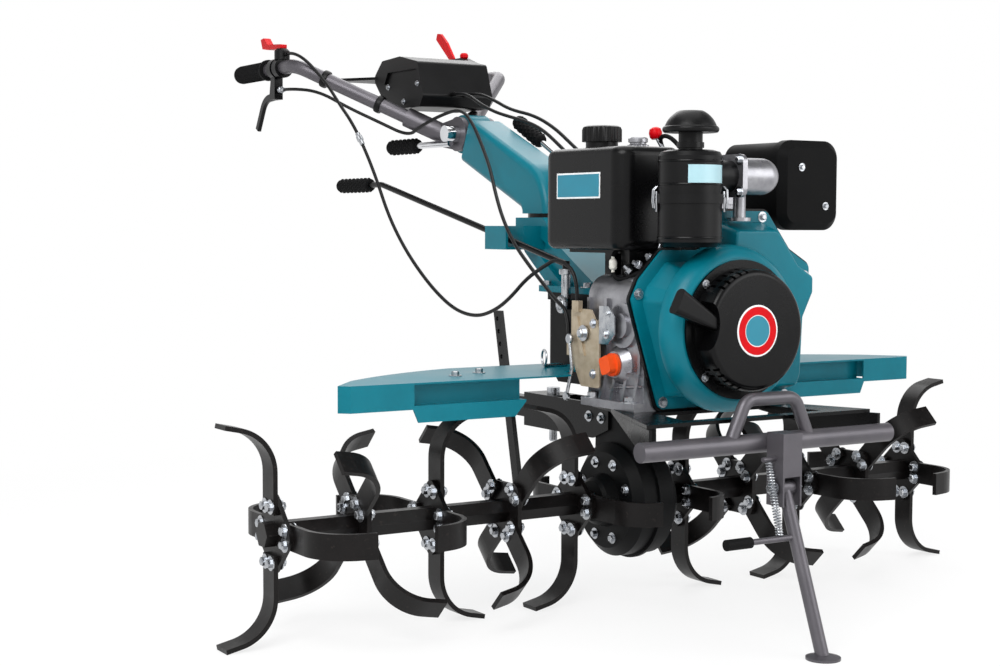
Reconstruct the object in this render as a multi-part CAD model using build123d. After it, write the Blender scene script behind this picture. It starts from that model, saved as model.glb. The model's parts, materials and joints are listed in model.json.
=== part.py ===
"""Power tiller: diesel engine, gearbox, two tine reels, prop stand and handlebar.

Sizes in millimetres. X points forward, Y to the machine's left, Z up. The axle stands over x = 0
while the pieces are made; the whole machine is then moved so that the middle of its footprint
comes to x = 0. The floor is z = 0.
"""
import os
from math import cos, radians, sin, tan

from build123d import *

# Clearances
RUN_FIT = 0.05
GAP = 0.3
SWING = 6

# Tine reels
TINE_R = 184
AXLE_Z = TINE_R
GROUPS = 5
GROUP_FIRST = 118
GROUP_PITCH = 147
GROUP_TURN = 45
HEX_AF = 38
FLANGE_SIDE = 100
FLANGE_T = 8
FLANGE_CORNER_R = 14
BLADE_W = 42
BLADE_T = 8
BLADE_ROOT_R = 33
BLADE_BEND_R = 70
BLADE_BEND_DEG = 78
BLADE_TIP = 28
INNER_BEND_R = 52
INNER_TIP = 12
TUBE_OVERHANG = 24
SHAFT_R = 13
SHAFT_GRIP = 60

# Gearbox
CASE_R = 104
CASE_HALF = 50
CASE_ROUND = 16
BOSS_R = 43
BOSS_LEN = 28
REEL_ROOM = 4
BOSS_Y = CASE_HALF + BOSS_LEN
TUBE_INNER_Y = BOSS_Y + SWING
ENGINE_BASE = AXLE_Z + TINE_R + REEL_ROOM
LEG_HALF = 27
LEG_L = 110
LEG_X0 = -58
LEG_FLANGE_T = 14
SPLIT_Z = ENGINE_BASE + 20
UPPER_L = 214
UPPER_X1 = 44
UPPER_X0 = UPPER_X1 - UPPER_L
UPPER_HALF = 70
UPPER_H = 168
UPPER_TOP = SPLIT_Z + UPPER_H
UPPER_ROUND = 14
BELL_R = 92
BELL_LEN = 18
RIB_T = 7
RIB_H = 6

# Engine block
CRANK_Z = ENGINE_BASE + 141
BLOCK_X0 = UPPER_X1 + BELL_LEN
BLOCK_L = 163
BLOCK_X1 = BLOCK_X0 + BLOCK_L
BLOCK_Y0, BLOCK_Y1 = -130, 118
BLOCK_H = 228
BLOCK_TOP = ENGINE_BASE + BLOCK_H
BLOCK_ROUND = 40
FOOT_T = 14
FOOT_OUT = 20
OIL_X = BLOCK_X0 + 96
OIL_Z = ENGINE_BASE + 76
OIL_R = 20
OIL_BOSS = 14
FIN_COUNT = 8
FIN_T = 5
FIN_DEPTH = 14
HEAD_H = 124
HEAD_Z = BLOCK_TOP + HEAD_H
ROCKER_H = 66
ROCKER_INSET = 6

# Shroud and recoil starter
BACKPLATE_T = 6
BACKPLATE_RIM = 4
SHROUD_T = 54
SHROUD_FLANGE_T = 5
SHROUD_INSET = 18
SHROUD_DRAFT = 16
SHROUD_CORNER = 12
SHROUD_ROUND = 5
SHROUD_X0 = BLOCK_X1 + BACKPLATE_T
SHROUD_X1 = SHROUD_X0 + SHROUD_T
SHROUD_RIGHT, SHROUD_LEFT = 165, 226
SHROUD_TOP = HEAD_Z - 12
SHROUD_FOOT = ENGINE_BASE + 4
SHROUD_HIP = 45
SHROUD_ARM, SHROUD_ARM_H = 48, 82
EAR_TOP, EAR_EDGE, EAR_LOW, EAR_FOOT = 69, 95, 149, 193
VOLUTE_LEN = 32
VOLUTE_R0, VOLUTE_R1 = 142, 121
RECOIL_X = SHROUD_X1 + VOLUTE_LEN
RECOIL_FLANGE_R = 117
RECOIL_FLANGE_T = 5
RECOIL_R = 101
RECOIL_LEN = 40
RECOIL_ROUND = 10
NOTCH_DEPTH = 22
NOTCH_R = 62
NOTCH_LIFT = 14
VENTS = 5
VENT_W, VENT_L = 5, 13
VENT_PITCH = 8
HANDLE_LEN = 84
HANDLE_LEAN = 27
HANDLE_NARROW, HANDLE_WIDE, HANDLE_T = 16, 44, 22

# Tank, air cleaner, intake and muffler
TANK_L, TANK_W, TANK_H = 243, 138, 178
TANK_X0 = BLOCK_X0 - 123
TANK_X1 = TANK_X0 + TANK_L
TANK_Y0 = BLOCK_Y0 - FOOT_OUT
TANK_Y1 = TANK_Y0 + TANK_W
TANK_LIFT = 44
TANK_Z0 = BLOCK_TOP + TANK_LIFT
TANK_Z1 = TANK_Z0 + TANK_H
TANK_CORNER_R = 30
TANK_EDGE_R = 16
CAP_R, CAP_H = 36, 42
CAP_X = TANK_X0 + 90
CAP_Y = TANK_Y0 + TANK_W / 2
HEAD_X0 = BLOCK_X0 + 16
HEAD_L = 128
HEAD_X1 = HEAD_X0 + HEAD_L
HEAD_Y0 = TANK_Y1 + 8
HEAD_Y1 = BLOCK_Y1
CANISTER_R, CANISTER_H = 53, 160
CANISTER_X = TANK_X1 + CANISTER_R + 50
CANISTER_Y = TANK_Y1 - 71
CANISTER_Z0 = BLOCK_TOP + 51
CANISTER_Z1 = CANISTER_Z0 + CANISTER_H
BAND_W, BAND_OUT = 8, 2.5
NECK_PIPE_R, NECK_PIPE_H = 20, 29
MUSHROOM_R, MUSHROOM_H = 47, 36
INTAKE_R = 24
INTAKE_Z = CANISTER_Z1 - 41
INTAKE_FLANGE = 72
INTAKE_FLANGE_T = 10
ELBOW_R = 31
ELBOW_L = 89
STAY_R = 11
STAY_FOOT = 20
MUFFLER_L, MUFFLER_W, MUFFLER_H = 161, 142, 159
MUFFLER_X1 = BLOCK_X1 + 21
MUFFLER_Y0 = HEAD_Y1 + 33
MUFFLER_Z0 = BLOCK_TOP + 79
MUFFLER_CAP = 30
MUFFLER_ROUND = 32
EXHAUST_R = 17

# Engine controls on the right side
PLATE_L, PLATE_H, PLATE_T = 86, 136, 3
PLATE_X0 = BLOCK_X0 - 28
PLATE_Z0 = ENGINE_BASE + 32
PLATE_OFF = 15
POST_R = 6
LUG_RISE = 14
PUMP_R, PUMP_H = 17, 38
PUMP_X = BLOCK_X1 - 38
TANK_POST_L = 24
TANK_POST_AT = 30
PUMP_ROOM = 18

# Engine bed, bumper and stand
BED_T = 6
BED_SIDE = 8
BED_FLARE = 22
LIP_H = 46
LIP_X0 = BLOCK_X0 + 88
BUMPER_X = BLOCK_X1 + 172
BUMPER_Z = ENGINE_BASE - 40
BUMPER_R = 16
BUMPER_HALF = 266
BED_FRONT_HALF = BUMPER_HALF - 18
BED_REAR_HALF = BLOCK_Y1 + 4
LOOP_R = 11
LOOP_FOOT_Y = 83
LOOP_TOP_Y = 52
LOOP_RISE = 72
LOOP_BEND = 24
BRACKET_W = 40
BRACKET_WALL = 3.5
BRACKET_H = 119
BRACKET_Z1 = BUMPER_Z + 20
PIVOT_Z = BRACKET_Z1 - 90
PIVOT_R = 6
EYE_BOSS_R = 13
LEG_R = 11
LEG_REACH = 98
FOOT_R = 28
FOOT_H = 8
PEG_AT = 0.294
PEG_R = 5
PEG_LEN = 138
SLEEVE_R = 9
SLEEVE_LEN = 50
HOOK_R = 4
HOOK_LIFT = 48
HOOK_OUT = 26
SPRING_R = 7
BRACKET_X0 = BUMPER_X + BUMPER_R + GAP
PIVOT_X = BRACKET_X0 + BRACKET_W / 2
FOOT_X = PIVOT_X + LEG_REACH
PEG_X = PIVOT_X + LEG_REACH * PEG_AT
PEG_Z = PIVOT_Z * (1 - PEG_AT)

# Fenders
FENDER_Z = ENGINE_BASE + 56
FENDER_T = 3
FENDER_LIP = 44
FENDER_CORNER = 46
FENDER_FRONT = 96
FENDER_REAR = 120
FENDER_OUT = 632
FENDER_TIP_IN, FENDER_TIP_BACK = 58, 84
FENDER_WIDE_Y = 310
FENDER_TAB = 36
FENDER_SPLIT = 500
FENDER_RAIL_END = 282
FENDER_RAIL_IN = 22
FENDER_WEB_H = 38
FENDER_STRIP = 28
FENDER_STEP_X = PLATE_X0 - 8
FENDER_STEP_Y = BLOCK_Y0 - FOOT_OUT - 8

# Hitch and depth stake
HITCH_T = 5
HITCH_H = 66
HITCH_Z1 = SPLIT_Z - 36
HITCH_L = 94
HITCH_X0 = UPPER_X0 - 130
HITCH_FLANGE = 8
HITCH_PIN_R = 8
HITCH_PIN_OVER = 28
DRAWBAR_HALF, DRAWBAR_H = 14, 40
STAKE_W, STAKE_T, STAKE_LEN = 24, 10, 366
STAKE_LEAN = 12.5
DRAWBAR_L = 156

# Handle column
COLUMN_X = UPPER_X0 - 88
SEAT_H = 141
SEAT_TOP = UPPER_TOP + SEAT_H
SEAT_HALF = 50
SEAT_FLANGE_T = 12
SEAT_FLANGE_L = 170
SEAT_BLOCK = 96
SEAT_ROUND = 10
POCKET_D = 9
SWIVEL_T = 8
SWIVEL_R = 44
ARM_W, ARM_D = 84, 92
ARM_ROUND = 14
ARM_Z0 = SEAT_TOP + SWIVEL_T
ARM_RISE = 40
ARM_BEND = 58
EYE_X = COLUMN_X - 297
EYE_Z = ARM_Z0 + 167
EYE_R = 40
EYE_HALF = 26
PIN_R = 9
CHEEK_T = 12
CHEEK_GAP = 1
CHEEK_R = EYE_R - 4

# Handlebar
NECK_Z = EYE_Z
NECK_R = 21
NECK_SHARE = 0.26
YOKE_R = 24
NECK_X = EYE_X - EYE_R - YOKE_R - SWING
BAR_R = 15
BAR_START_Y = 22
GRIP_Y = 262
BEND_X = NECK_X - 242
BAR_BEND = 62
GRIP_Z = NECK_Z + 155
GRIP_R = 19.5
GRIP_LEN = 158
GRIP_END_X = BEND_X - 298
GRIP_CAP = 6
PERCH_X = GRIP_END_X + GRIP_LEN + 40
PERCH_W = 20
PERCH_WALL = 7
PERCH_DROP = 50
THUMB_R = 17
THUMB_X = PERCH_X + PERCH_W / 2 + THUMB_R + 2
THUMB_CABLE_Z = GRIP_Z + BAR_R + 14
FERRULE_R = 5
FERRULE_L = 14
BLADE_LEVER_W, BLADE_LEVER_T = 17, 9
CLAMP_R = 7
CLAMP_L = 140
CLAMP_GRIP_R, CLAMP_GRIP_L = 15, 120
CLAMP_HUB_R, CLAMP_HUB_L = 17, 30
CLAMP_DROP = 20
CONSOLE_HALF = 86
CONSOLE_X0 = NECK_X - 208
CONSOLE_L = 218
CONSOLE_Z0 = NECK_Z + 60
CONSOLE_H = 112
CONSOLE_ROUND = 10
CONSOLE_STEP = 5
CONSOLE_FRONT = CONSOLE_X0 + CONSOLE_L
CONSOLE_CABLE_Z = CONSOLE_Z0 + 27
SHIFT_CABLE_Y = 15
TRAY_T = 6
TRAY_L = 92
TRAY_HALF = 150

# Rods and levers beside the column
GUIDE_L, GUIDE_W, GUIDE_H, GUIDE_T = 76, 40, 40, 5
SHIFT_R = 6
SHIFT_Y = 92
SHIFT_LINK_Z = UPPER_TOP - 19
SHIFT_RISE = 74
SHIFT_GRIP_R, SHIFT_GRIP_L = 14, 140
GEAR_R = 6
GEAR_Y = SEAT_HALF + 13
GEAR_GRIP_R, GEAR_GRIP_L = 14, 101

# Control cables
CABLE_R = 3.5
SEAT_CABLE_X = UPPER_X1 - 34
SEAT_CABLE_Y = 36


def block(x0, x1, y0, y1, z0, z1):
    """A box between two corners."""
    return Pos((x0 + x1) / 2, (y0 + y1) / 2, (z0 + z1) / 2) * Box(x1 - x0, y1 - y0, z1 - z0)


def rod(p0, p1, radius):
    """A round bar between two points."""
    start = Plane(p0, z_dir=Vector(*p1) - Vector(*p0))
    return extrude(start * Circle(radius), amount=(Vector(*p1) - Vector(*p0)).length)


def bent_bar(points, bends, radius):
    """A round bar along straight runs joined by arcs."""
    path = FilletPolyline(*points, radius=bends)
    return sweep(Plane(path @ 0, z_dir=path % 0) * Circle(radius), path=path)


def plate_xz(points, y0, y1, round_r=0):
    """A plate cut to an outline in X and Z."""
    face = make_face(Polyline(*[(x, y0, z) for x, z in points], close=True))
    if round_r:
        face = fillet(face.vertices(), round_r)
    return extrude(face, amount=y1 - y0, dir=(0, 1, 0))


def plate_xy(points, z0, z1):
    """A plate cut to an outline in X and Y."""
    face = make_face(Polyline(*[(x, y, z0) for x, y in points], close=True))
    return extrude(face, amount=z1 - z0, dir=(0, 0, 1))


def turned_z(x, y, profile):
    """A piece turned about an upright axis from pairs of radius and height."""
    face = make_face(Polyline(*[(r, 0, z) for r, z in profile], close=True))
    return Pos(x, y, 0) * revolve(face, axis=Axis.Z)


def turned_x(z, profile):
    """A piece turned about an axis along X from pairs of x and radius."""
    face = make_face(Polyline(*[(x, 0, r) for x, r in profile], close=True))
    return Pos(0, 0, z) * revolve(face, axis=Axis.X)


def mirrored(shape):
    """The same piece on the other side of the machine."""
    return mirror(shape, about=Plane.XZ)


def blade(angle, y_face, side, hollow, tip):
    """One blade: a flat shank on its flange and a bend to the side it cuts on."""
    turn = radians(BLADE_BEND_DEG)
    back = hollow + BLADE_T
    start = TINE_R - back * sin(turn) - tip * cos(turn)

    def at(axial, radius):
        return (0, y_face + side * axial, radius)

    def on_bend(bend_r, share, straight=0):
        a = BLADE_T + hollow - bend_r * cos(turn * share) + straight * sin(turn)
        return at(a, start + bend_r * sin(turn * share) + straight * cos(turn))

    edges = [
        Line(at(BLADE_T, BLADE_ROOT_R), at(BLADE_T, start)),
        ThreePointArc(at(BLADE_T, start), on_bend(hollow, 0.5), on_bend(hollow, 1)),
        Line(on_bend(hollow, 1), on_bend(hollow, 1, tip)),
        Line(on_bend(hollow, 1, tip), on_bend(back, 1, tip)),
        Line(on_bend(back, 1, tip), on_bend(back, 1)),
        ThreePointArc(on_bend(back, 1), on_bend(back, 0.5), at(0, start)),
        Line(at(0, start), at(0, BLADE_ROOT_R)),
        Line(at(0, BLADE_ROOT_R), at(BLADE_T, BLADE_ROOT_R)),
    ]
    flat = extrude(make_face(edges), amount=BLADE_W / 2, dir=(1, 0, 0), both=True)
    return Pos(0, 0, AXLE_Z) * Rot(0, angle, 0) * flat


def reel_right():
    """Hexagon tube with square flanges, and four blades on each flange, two to each side."""
    y_out = GROUP_FIRST + (GROUPS - 1) * GROUP_PITCH + TUBE_OVERHANG
    start = Plane((0, -TUBE_INNER_Y, AXLE_Z), x_dir=(1, 0, 0), z_dir=(0, -1, 0))
    tube = start * RegularPolygon(HEX_AF / 2, 6, major_radius=False)
    reel = extrude(tube, amount=y_out - TUBE_INNER_Y)
    square = RectangleRounded(FLANGE_SIDE, FLANGE_SIDE, FLANGE_CORNER_R)
    flange = extrude(Plane.XZ * square, amount=FLANGE_T / 2, both=True)
    for group in range(GROUPS):
        y = -(GROUP_FIRST + group * GROUP_PITCH)
        phase = GROUP_TURN * (GROUPS - 1 - group)
        reel += Pos(0, y, AXLE_Z) * Rot(0, phase + 45, 0) * flange
        for k in range(4):
            side = -1 if k % 2 == 0 else 1
            beside_case = group == 0 and side == 1
            hollow, tip = (INNER_BEND_R, INNER_TIP) if beside_case else (BLADE_BEND_R, BLADE_TIP)
            reel += blade(phase + 90 * k, y + side * FLANGE_T / 2, side, hollow, tip)
    return reel - rod((0, -TUBE_INNER_Y + 1, AXLE_Z), (0, -TUBE_INNER_Y - SHAFT_GRIP, AXLE_Z), SHAFT_R)


def output_shaft():
    """The stub axle through the case, with its ends in both reel tubes."""
    end = TUBE_INNER_Y + SHAFT_GRIP - GAP
    return rod((0, -end, AXLE_Z), (0, end, AXLE_Z), SHAFT_R - RUN_FIT)


def gearbox_lower_case():
    """The drum round the axle, its two bearing bosses, and the leg up to the upper case."""
    bevel = CASE_ROUND
    profile = [
        (-BOSS_Y, SHAFT_R), (-BOSS_Y, BOSS_R - RIB_H), (-BOSS_Y + RIB_H, BOSS_R),
        (-CASE_HALF, BOSS_R + RIB_H),
        (-CASE_HALF, CASE_R - bevel), (-CASE_HALF + bevel, CASE_R), (CASE_HALF - bevel, CASE_R),
        (CASE_HALF, CASE_R - bevel), (CASE_HALF, BOSS_R + RIB_H), (BOSS_Y - RIB_H, BOSS_R),
        (BOSS_Y, BOSS_R - RIB_H), (BOSS_Y, SHAFT_R),
    ]
    face = make_face(Polyline(*[(r, y, 0) for y, r in profile], close=True))
    drum = Pos(0, 0, AXLE_Z) * revolve(face, axis=Axis.Y)
    leg_x1 = LEG_X0 + LEG_L
    outline = [(LEG_X0 - RIB_H, AXLE_Z), (leg_x1 + RIB_H, AXLE_Z), (leg_x1, SPLIT_Z), (LEG_X0, SPLIT_Z)]
    leg = plate_xz(outline, -LEG_HALF, LEG_HALF)
    flange = block(LEG_X0 - RIB_H, leg_x1, -LEG_HALF, LEG_HALF, SPLIT_Z - LEG_FLANGE_T, SPLIT_Z)
    room = rod((0, -LEG_HALF - 1, AXLE_Z), (0, LEG_HALF + 1, AXLE_Z), SHAFT_R)
    seam = rod((0, -RIB_T / 2, AXLE_Z), (0, RIB_T / 2, AXLE_Z), CASE_R + RIB_H)
    seam -= rod((0, -RIB_T, AXLE_Z), (0, RIB_T, AXLE_Z), CASE_R - RIB_H)
    return drum + (leg - room) + flange + seam


def gearbox_upper_case():
    """The upper case with its bell to the engine, side covers and ribs."""
    slope = 38
    outline = [
        (UPPER_X0 + slope, SPLIT_Z), (UPPER_X1, SPLIT_Z), (UPPER_X1, UPPER_TOP), (UPPER_X0, UPPER_TOP),
        (UPPER_X0, SPLIT_Z + slope),
    ]
    case = plate_xz(outline, -UPPER_HALF + RIB_H, UPPER_HALF - RIB_H)
    case = fillet(case.edges().filter_by(Axis.Z), UPPER_ROUND)
    bell = turned_x(CRANK_Z, [
        (UPPER_X1 - RIB_T, 0), (UPPER_X1 - RIB_T, UPPER_HALF - RIB_H),
        (BLOCK_X0 - RIB_T, BELL_R - RIB_H),
        (BLOCK_X0 - RIB_T, BELL_R), (BLOCK_X0, BELL_R), (BLOCK_X0, 0),
    ])
    bell -= block(UPPER_X1 - 2 * RIB_T, BLOCK_X0 + 1, -BELL_R, BELL_R, UPPER_TOP, CRANK_Z + BELL_R + 1)
    cover_x = UPPER_X0 + UPPER_L * 0.42
    cover_z = SPLIT_Z + UPPER_H * 0.56
    cover = rod((cover_x, -UPPER_HALF, cover_z), (cover_x, UPPER_HALF, cover_z), UPPER_H * 0.3)
    rim = block(UPPER_X0, UPPER_X1, -UPPER_HALF, UPPER_HALF, UPPER_TOP - LEG_FLANGE_T, UPPER_TOP)
    rim = fillet(rim.edges().filter_by(Axis.Z), UPPER_ROUND)
    seats = [rod((SEAT_CABLE_X, y, UPPER_TOP), (SEAT_CABLE_X, y, UPPER_TOP + FERRULE_L), FERRULE_R)
             for y in (SEAT_CABLE_Y, SEAT_CABLE_Y + 22)]
    return case + bell + cover + rim + seats


def engine_bed():
    """Folded plate under the engine: it widens forward, and its side lips carry the bumper."""
    top, low = ENGINE_BASE, ENGINE_BASE - BED_T
    front = BUMPER_X - BUMPER_R - 2 * GAP
    wide = BED_FRONT_HALF - BED_SIDE
    knee = BED_REAR_HALF + BED_FLARE
    right = [(BLOCK_X0, -BED_REAR_HALF), (LIP_X0, -knee), (front, -wide)]
    left = [(front, wide), (LIP_X0, knee), (BLOCK_X0, BED_REAR_HALF)]
    plate = plate_xy(right + left, low, top)
    arm = wide * 0.38
    window = [(BLOCK_X1 + BED_FLARE, -knee + BED_FLARE), (front - LIP_H / 2, -wide + arm),
              (front - LIP_H / 2, wide - arm), (BLOCK_X1 + BED_FLARE, knee - BED_FLARE)]
    plate -= plate_xy(window, low - 1, top + 1)
    side = [(LIP_X0, -knee), (BUMPER_X, -BED_FRONT_HALF), (BUMPER_X, -BED_FRONT_HALF + BED_T),
            (LIP_X0, -knee + BED_T)]
    lip = plate_xy(side, top - LIP_H, low)
    taper = [(LIP_X0 - 1, top - LIP_H - 1), (front - LIP_H, top - LIP_H - 1), (LIP_X0 - 1, low)]
    lip -= plate_xz(taper, -BED_FRONT_HALF - 1, 0)
    lip -= rod((BUMPER_X, -BUMPER_HALF, BUMPER_Z), (BUMPER_X, 0, BUMPER_Z), BUMPER_R + GAP)
    return plate + lip + mirrored(lip)


def bumper_bar():
    """Round bumper tube with the lifting loop welded on top."""
    bar = rod((BUMPER_X, -BUMPER_HALF, BUMPER_Z), (BUMPER_X, BUMPER_HALF, BUMPER_Z), BUMPER_R)
    foot, top = BUMPER_Z + LOOP_R / 2, BUMPER_Z + LOOP_RISE
    points = [(BUMPER_X, -LOOP_FOOT_Y, foot), (BUMPER_X, -LOOP_TOP_Y, top),
              (BUMPER_X, LOOP_TOP_Y, top), (BUMPER_X, LOOP_FOOT_Y, foot)]
    return bar + bent_bar(points, LOOP_BEND, LOOP_R)


def stand_bracket():
    """Square tube on the bumper, open below so that the leg can fold back, with the spring's hook."""
    half, wall = BRACKET_W / 2, BRACKET_WALL
    x0, x1 = BRACKET_X0, BRACKET_X0 + BRACKET_W
    z0 = BRACKET_Z1 - BRACKET_H
    tube = block(x0, x1, -half, half, z0, BRACKET_Z1)
    tube -= block(x0 + wall, x1 - wall, -half + wall, half - wall, z0 - 1, BRACKET_Z1 - wall)
    tube -= block(x0 - 1, x1 + 1, -half + wall, half - wall, z0 - 1, PIVOT_Z + EYE_BOSS_R + SWING)
    pin = rod((PIVOT_X, -half - wall, PIVOT_Z), (PIVOT_X, half + wall, PIVOT_Z), PIVOT_R)
    hook_z = PIVOT_Z + HOOK_LIFT
    hook = rod((PIVOT_X, -half - HOOK_OUT, hook_z), (PIVOT_X, -half + wall, hook_z), HOOK_R)
    return tube + pin + hook


def stand_leg():
    """The prop leg with its eye, foot disc and cross peg."""
    half = BRACKET_W / 2 - BRACKET_WALL - 1
    eye = rod((PIVOT_X, -half, PIVOT_Z), (PIVOT_X, half, PIVOT_Z), EYE_BOSS_R)
    leg = rod((PIVOT_X, 0, PIVOT_Z), (FOOT_X, 0, 0), LEG_R)
    leg -= block(PIVOT_X, FOOT_X + 4 * LEG_R, -2 * LEG_R, 2 * LEG_R, -4 * LEG_R, 0)
    foot = turned_z(FOOT_X, 0, [(0, 0), (FOOT_R, 0), (FOOT_R, FOOT_H / 2), (LEG_R + 2, FOOT_H),
                                (0, FOOT_H)])
    peg = rod((PEG_X, -PEG_LEN, PEG_Z), (PEG_X, 0, PEG_Z), PEG_R)
    bore = rod((PIVOT_X, -half - 1, PIVOT_Z), (PIVOT_X, half + 1, PIVOT_Z), PIVOT_R + RUN_FIT)
    return eye + leg + foot + peg - bore


def stand_peg():
    """Rubber sleeve on the end of the cross peg."""
    end = -PEG_LEN - 2 * SLEEVE_R / 3
    sleeve = rod((PEG_X, end, PEG_Z), (PEG_X, end + SLEEVE_LEN, PEG_Z), SLEEVE_R)
    return sleeve - rod((PEG_X, -PEG_LEN - GAP, PEG_Z), (PEG_X, end + SLEEVE_LEN + 1, PEG_Z), PEG_R + GAP)


def stand_spring():
    """Outer shape of the return spring between the bracket's hook and the peg."""
    y = -BRACKET_W / 2 - HOOK_OUT / 2
    top = (PIVOT_X, y, PIVOT_Z + HOOK_LIFT - HOOK_R - 2 * GAP)
    foot = (PEG_X, y, PEG_Z + PEG_R + 2 * GAP)
    spring = rod(top, foot, SPRING_R)
    hook_z = PIVOT_Z + HOOK_LIFT
    spring -= rod((PIVOT_X, y - HOOK_OUT, hook_z), (PIVOT_X, y + HOOK_OUT, hook_z), HOOK_R + GAP)
    return spring - rod((PEG_X, y - HOOK_OUT, PEG_Z), (PEG_X, y + HOOK_OUT, PEG_Z), PEG_R + GAP)


def crankcase():
    """Cast block with rounded shoulders, feet, webs, ribbed side, round side cover and oil filler boss."""
    body = block(BLOCK_X0, BLOCK_X1, BLOCK_Y0, BLOCK_Y1, ENGINE_BASE, BLOCK_TOP)
    body = fillet(body.edges().filter_by(Axis.X).group_by(Axis.Z)[-1], BLOCK_ROUND)
    feet = block(BLOCK_X0 + RIB_H, BLOCK_X1, BLOCK_Y0 - FOOT_OUT, BLOCK_Y1 + FOOT_OUT,
                 ENGINE_BASE, ENGINE_BASE + FOOT_T)
    neck = Plane((OIL_X, BLOCK_Y0 - OIL_BOSS, OIL_Z), x_dir=(1, 0, 0), z_dir=(0, 1, 0))
    boss = loft([neck * Circle(OIL_R + 3), neck.offset(OIL_BOSS) * Circle(OIL_R + OIL_BOSS)])
    pitch = BLOCK_L / 5
    ribs = []
    for i in range(5):
        x = BLOCK_X0 + pitch * (i + 0.5)
        web = [(BLOCK_Y0 - FOOT_OUT + RIB_H, ENGINE_BASE), (BLOCK_Y0, ENGINE_BASE),
               (BLOCK_Y0, ENGINE_BASE + BLOCK_H * 0.28)]
        face = make_face(Polyline(*[(x, y, z) for y, z in web], close=True))
        ribs.append(extrude(face, amount=RIB_T / 2, dir=(1, 0, 0), both=True))
    low, high = ENGINE_BASE + BLOCK_H * 0.28, BLOCK_TOP - BLOCK_ROUND
    for x in (BLOCK_X0 + RIB_T, BLOCK_X0 + BLOCK_L * 0.36, BLOCK_X1 - RIB_T):
        ribs.append(block(x - RIB_T / 2, x + RIB_T / 2, BLOCK_Y0 - RIB_H, BLOCK_Y0, low, high))
    rail_x = BLOCK_X0 + BLOCK_L * 0.36
    ribs.append(block(rail_x, BLOCK_X1 - RIB_T, BLOCK_Y0 - RIB_H, BLOCK_Y0, low - RIB_T, low))
    cover_x, cover_z, cover_r = BLOCK_X0 + BLOCK_L * 0.66, ENGINE_BASE + BLOCK_H * 0.63, BLOCK_H * 0.17
    cover = rod((cover_x, BLOCK_Y0 - RIB_H, cover_z), (cover_x, BLOCK_Y0, cover_z), cover_r)
    cover += rod((cover_x, BLOCK_Y0 - 2 * RIB_H, cover_z), (cover_x, BLOCK_Y0, cover_z), cover_r * 0.55)
    return body + feet + boss + ribs + cover


def oil_cap():
    """Oil filler cap: a rim and a tapered square grip."""
    y = BLOCK_Y0 - OIL_BOSS
    rim = rod((OIL_X, y - OIL_R * 0.3, OIL_Z), (OIL_X, y, OIL_Z), OIL_R)
    seat = Plane((OIL_X, y - OIL_R * 0.3, OIL_Z), x_dir=(1, 0, 0), z_dir=(0, -1, 0))
    grip = extrude(seat * Rot(0, 0, 20) * RectangleRounded(OIL_R * 1.4, OIL_R * 1.5, OIL_R * 0.3), OIL_R * 0.7)
    return rim + grip


def cylinder():
    """Barrel with its cooling fins."""
    barrel = block(HEAD_X0 + FIN_DEPTH, HEAD_X1 - FIN_DEPTH, HEAD_Y0 + FIN_DEPTH, HEAD_Y1 - FIN_DEPTH,
                   BLOCK_TOP, HEAD_Z)
    pitch = HEAD_H / (FIN_COUNT + 1)
    fin = block(HEAD_X0, HEAD_X1, HEAD_Y0, HEAD_Y1, BLOCK_TOP - FIN_T / 2, BLOCK_TOP + FIN_T / 2)
    return barrel + [Pos(0, 0, pitch * (i + 1)) * fin for i in range(FIN_COUNT)]


def rocker_cover():
    """Valve cover on top of the barrel."""
    cover = block(HEAD_X0 + ROCKER_INSET, HEAD_X1 - ROCKER_INSET, HEAD_Y0 + ROCKER_INSET,
                  HEAD_Y1 - ROCKER_INSET, HEAD_Z, HEAD_Z + ROCKER_H)
    return fillet(cover.edges().group_by(Axis.Z)[-1] + cover.edges().filter_by(Axis.Z), 2 * ROCKER_INSET)


def shroud_face(grow, corner):
    """Outline of the fan shroud, seen from the front, grown or shrunk all round."""
    shoulder, top = CANISTER_Z0 - SWING, SHROUD_TOP
    points = [
        (-SHROUD_RIGHT * 0.64, SHROUD_FOOT), (-SHROUD_RIGHT, shoulder - SHROUD_ARM_H),
        (-SHROUD_RIGHT * 0.9, shoulder - SHROUD_ARM), (-SHROUD_RIGHT * 0.62, shoulder),
        (TANK_Y1 - 4, shoulder), (TANK_Y1, top), (SHROUD_LEFT * 0.56, top), (SHROUD_LEFT * 0.8, top - EAR_TOP),
        (SHROUD_LEFT, top - EAR_EDGE), (SHROUD_LEFT, top - EAR_LOW), (SHROUD_LEFT * 0.9, top - EAR_FOOT),
        (SHROUD_LEFT * 0.88, SHROUD_FOOT + SHROUD_HIP), (SHROUD_LEFT * 0.8, SHROUD_FOOT),
    ]
    face = make_face(Polyline(*[(y, z, 0) for y, z in points], close=True))
    if grow:
        face = offset(face, grow, kind=Kind.INTERSECTION)
    return Plane((0, 0, 0), x_dir=(0, 1, 0), z_dir=(1, 0, 0)) * fillet(face.vertices(), corner)


def shroud_backplate():
    """Dark plate between the block and the shroud."""
    rim = shroud_face(BACKPLATE_RIM, SHROUD_CORNER + BACKPLATE_RIM)
    return Pos(BLOCK_X1, 0, 0) * extrude(rim, amount=BACKPLATE_T)


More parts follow.
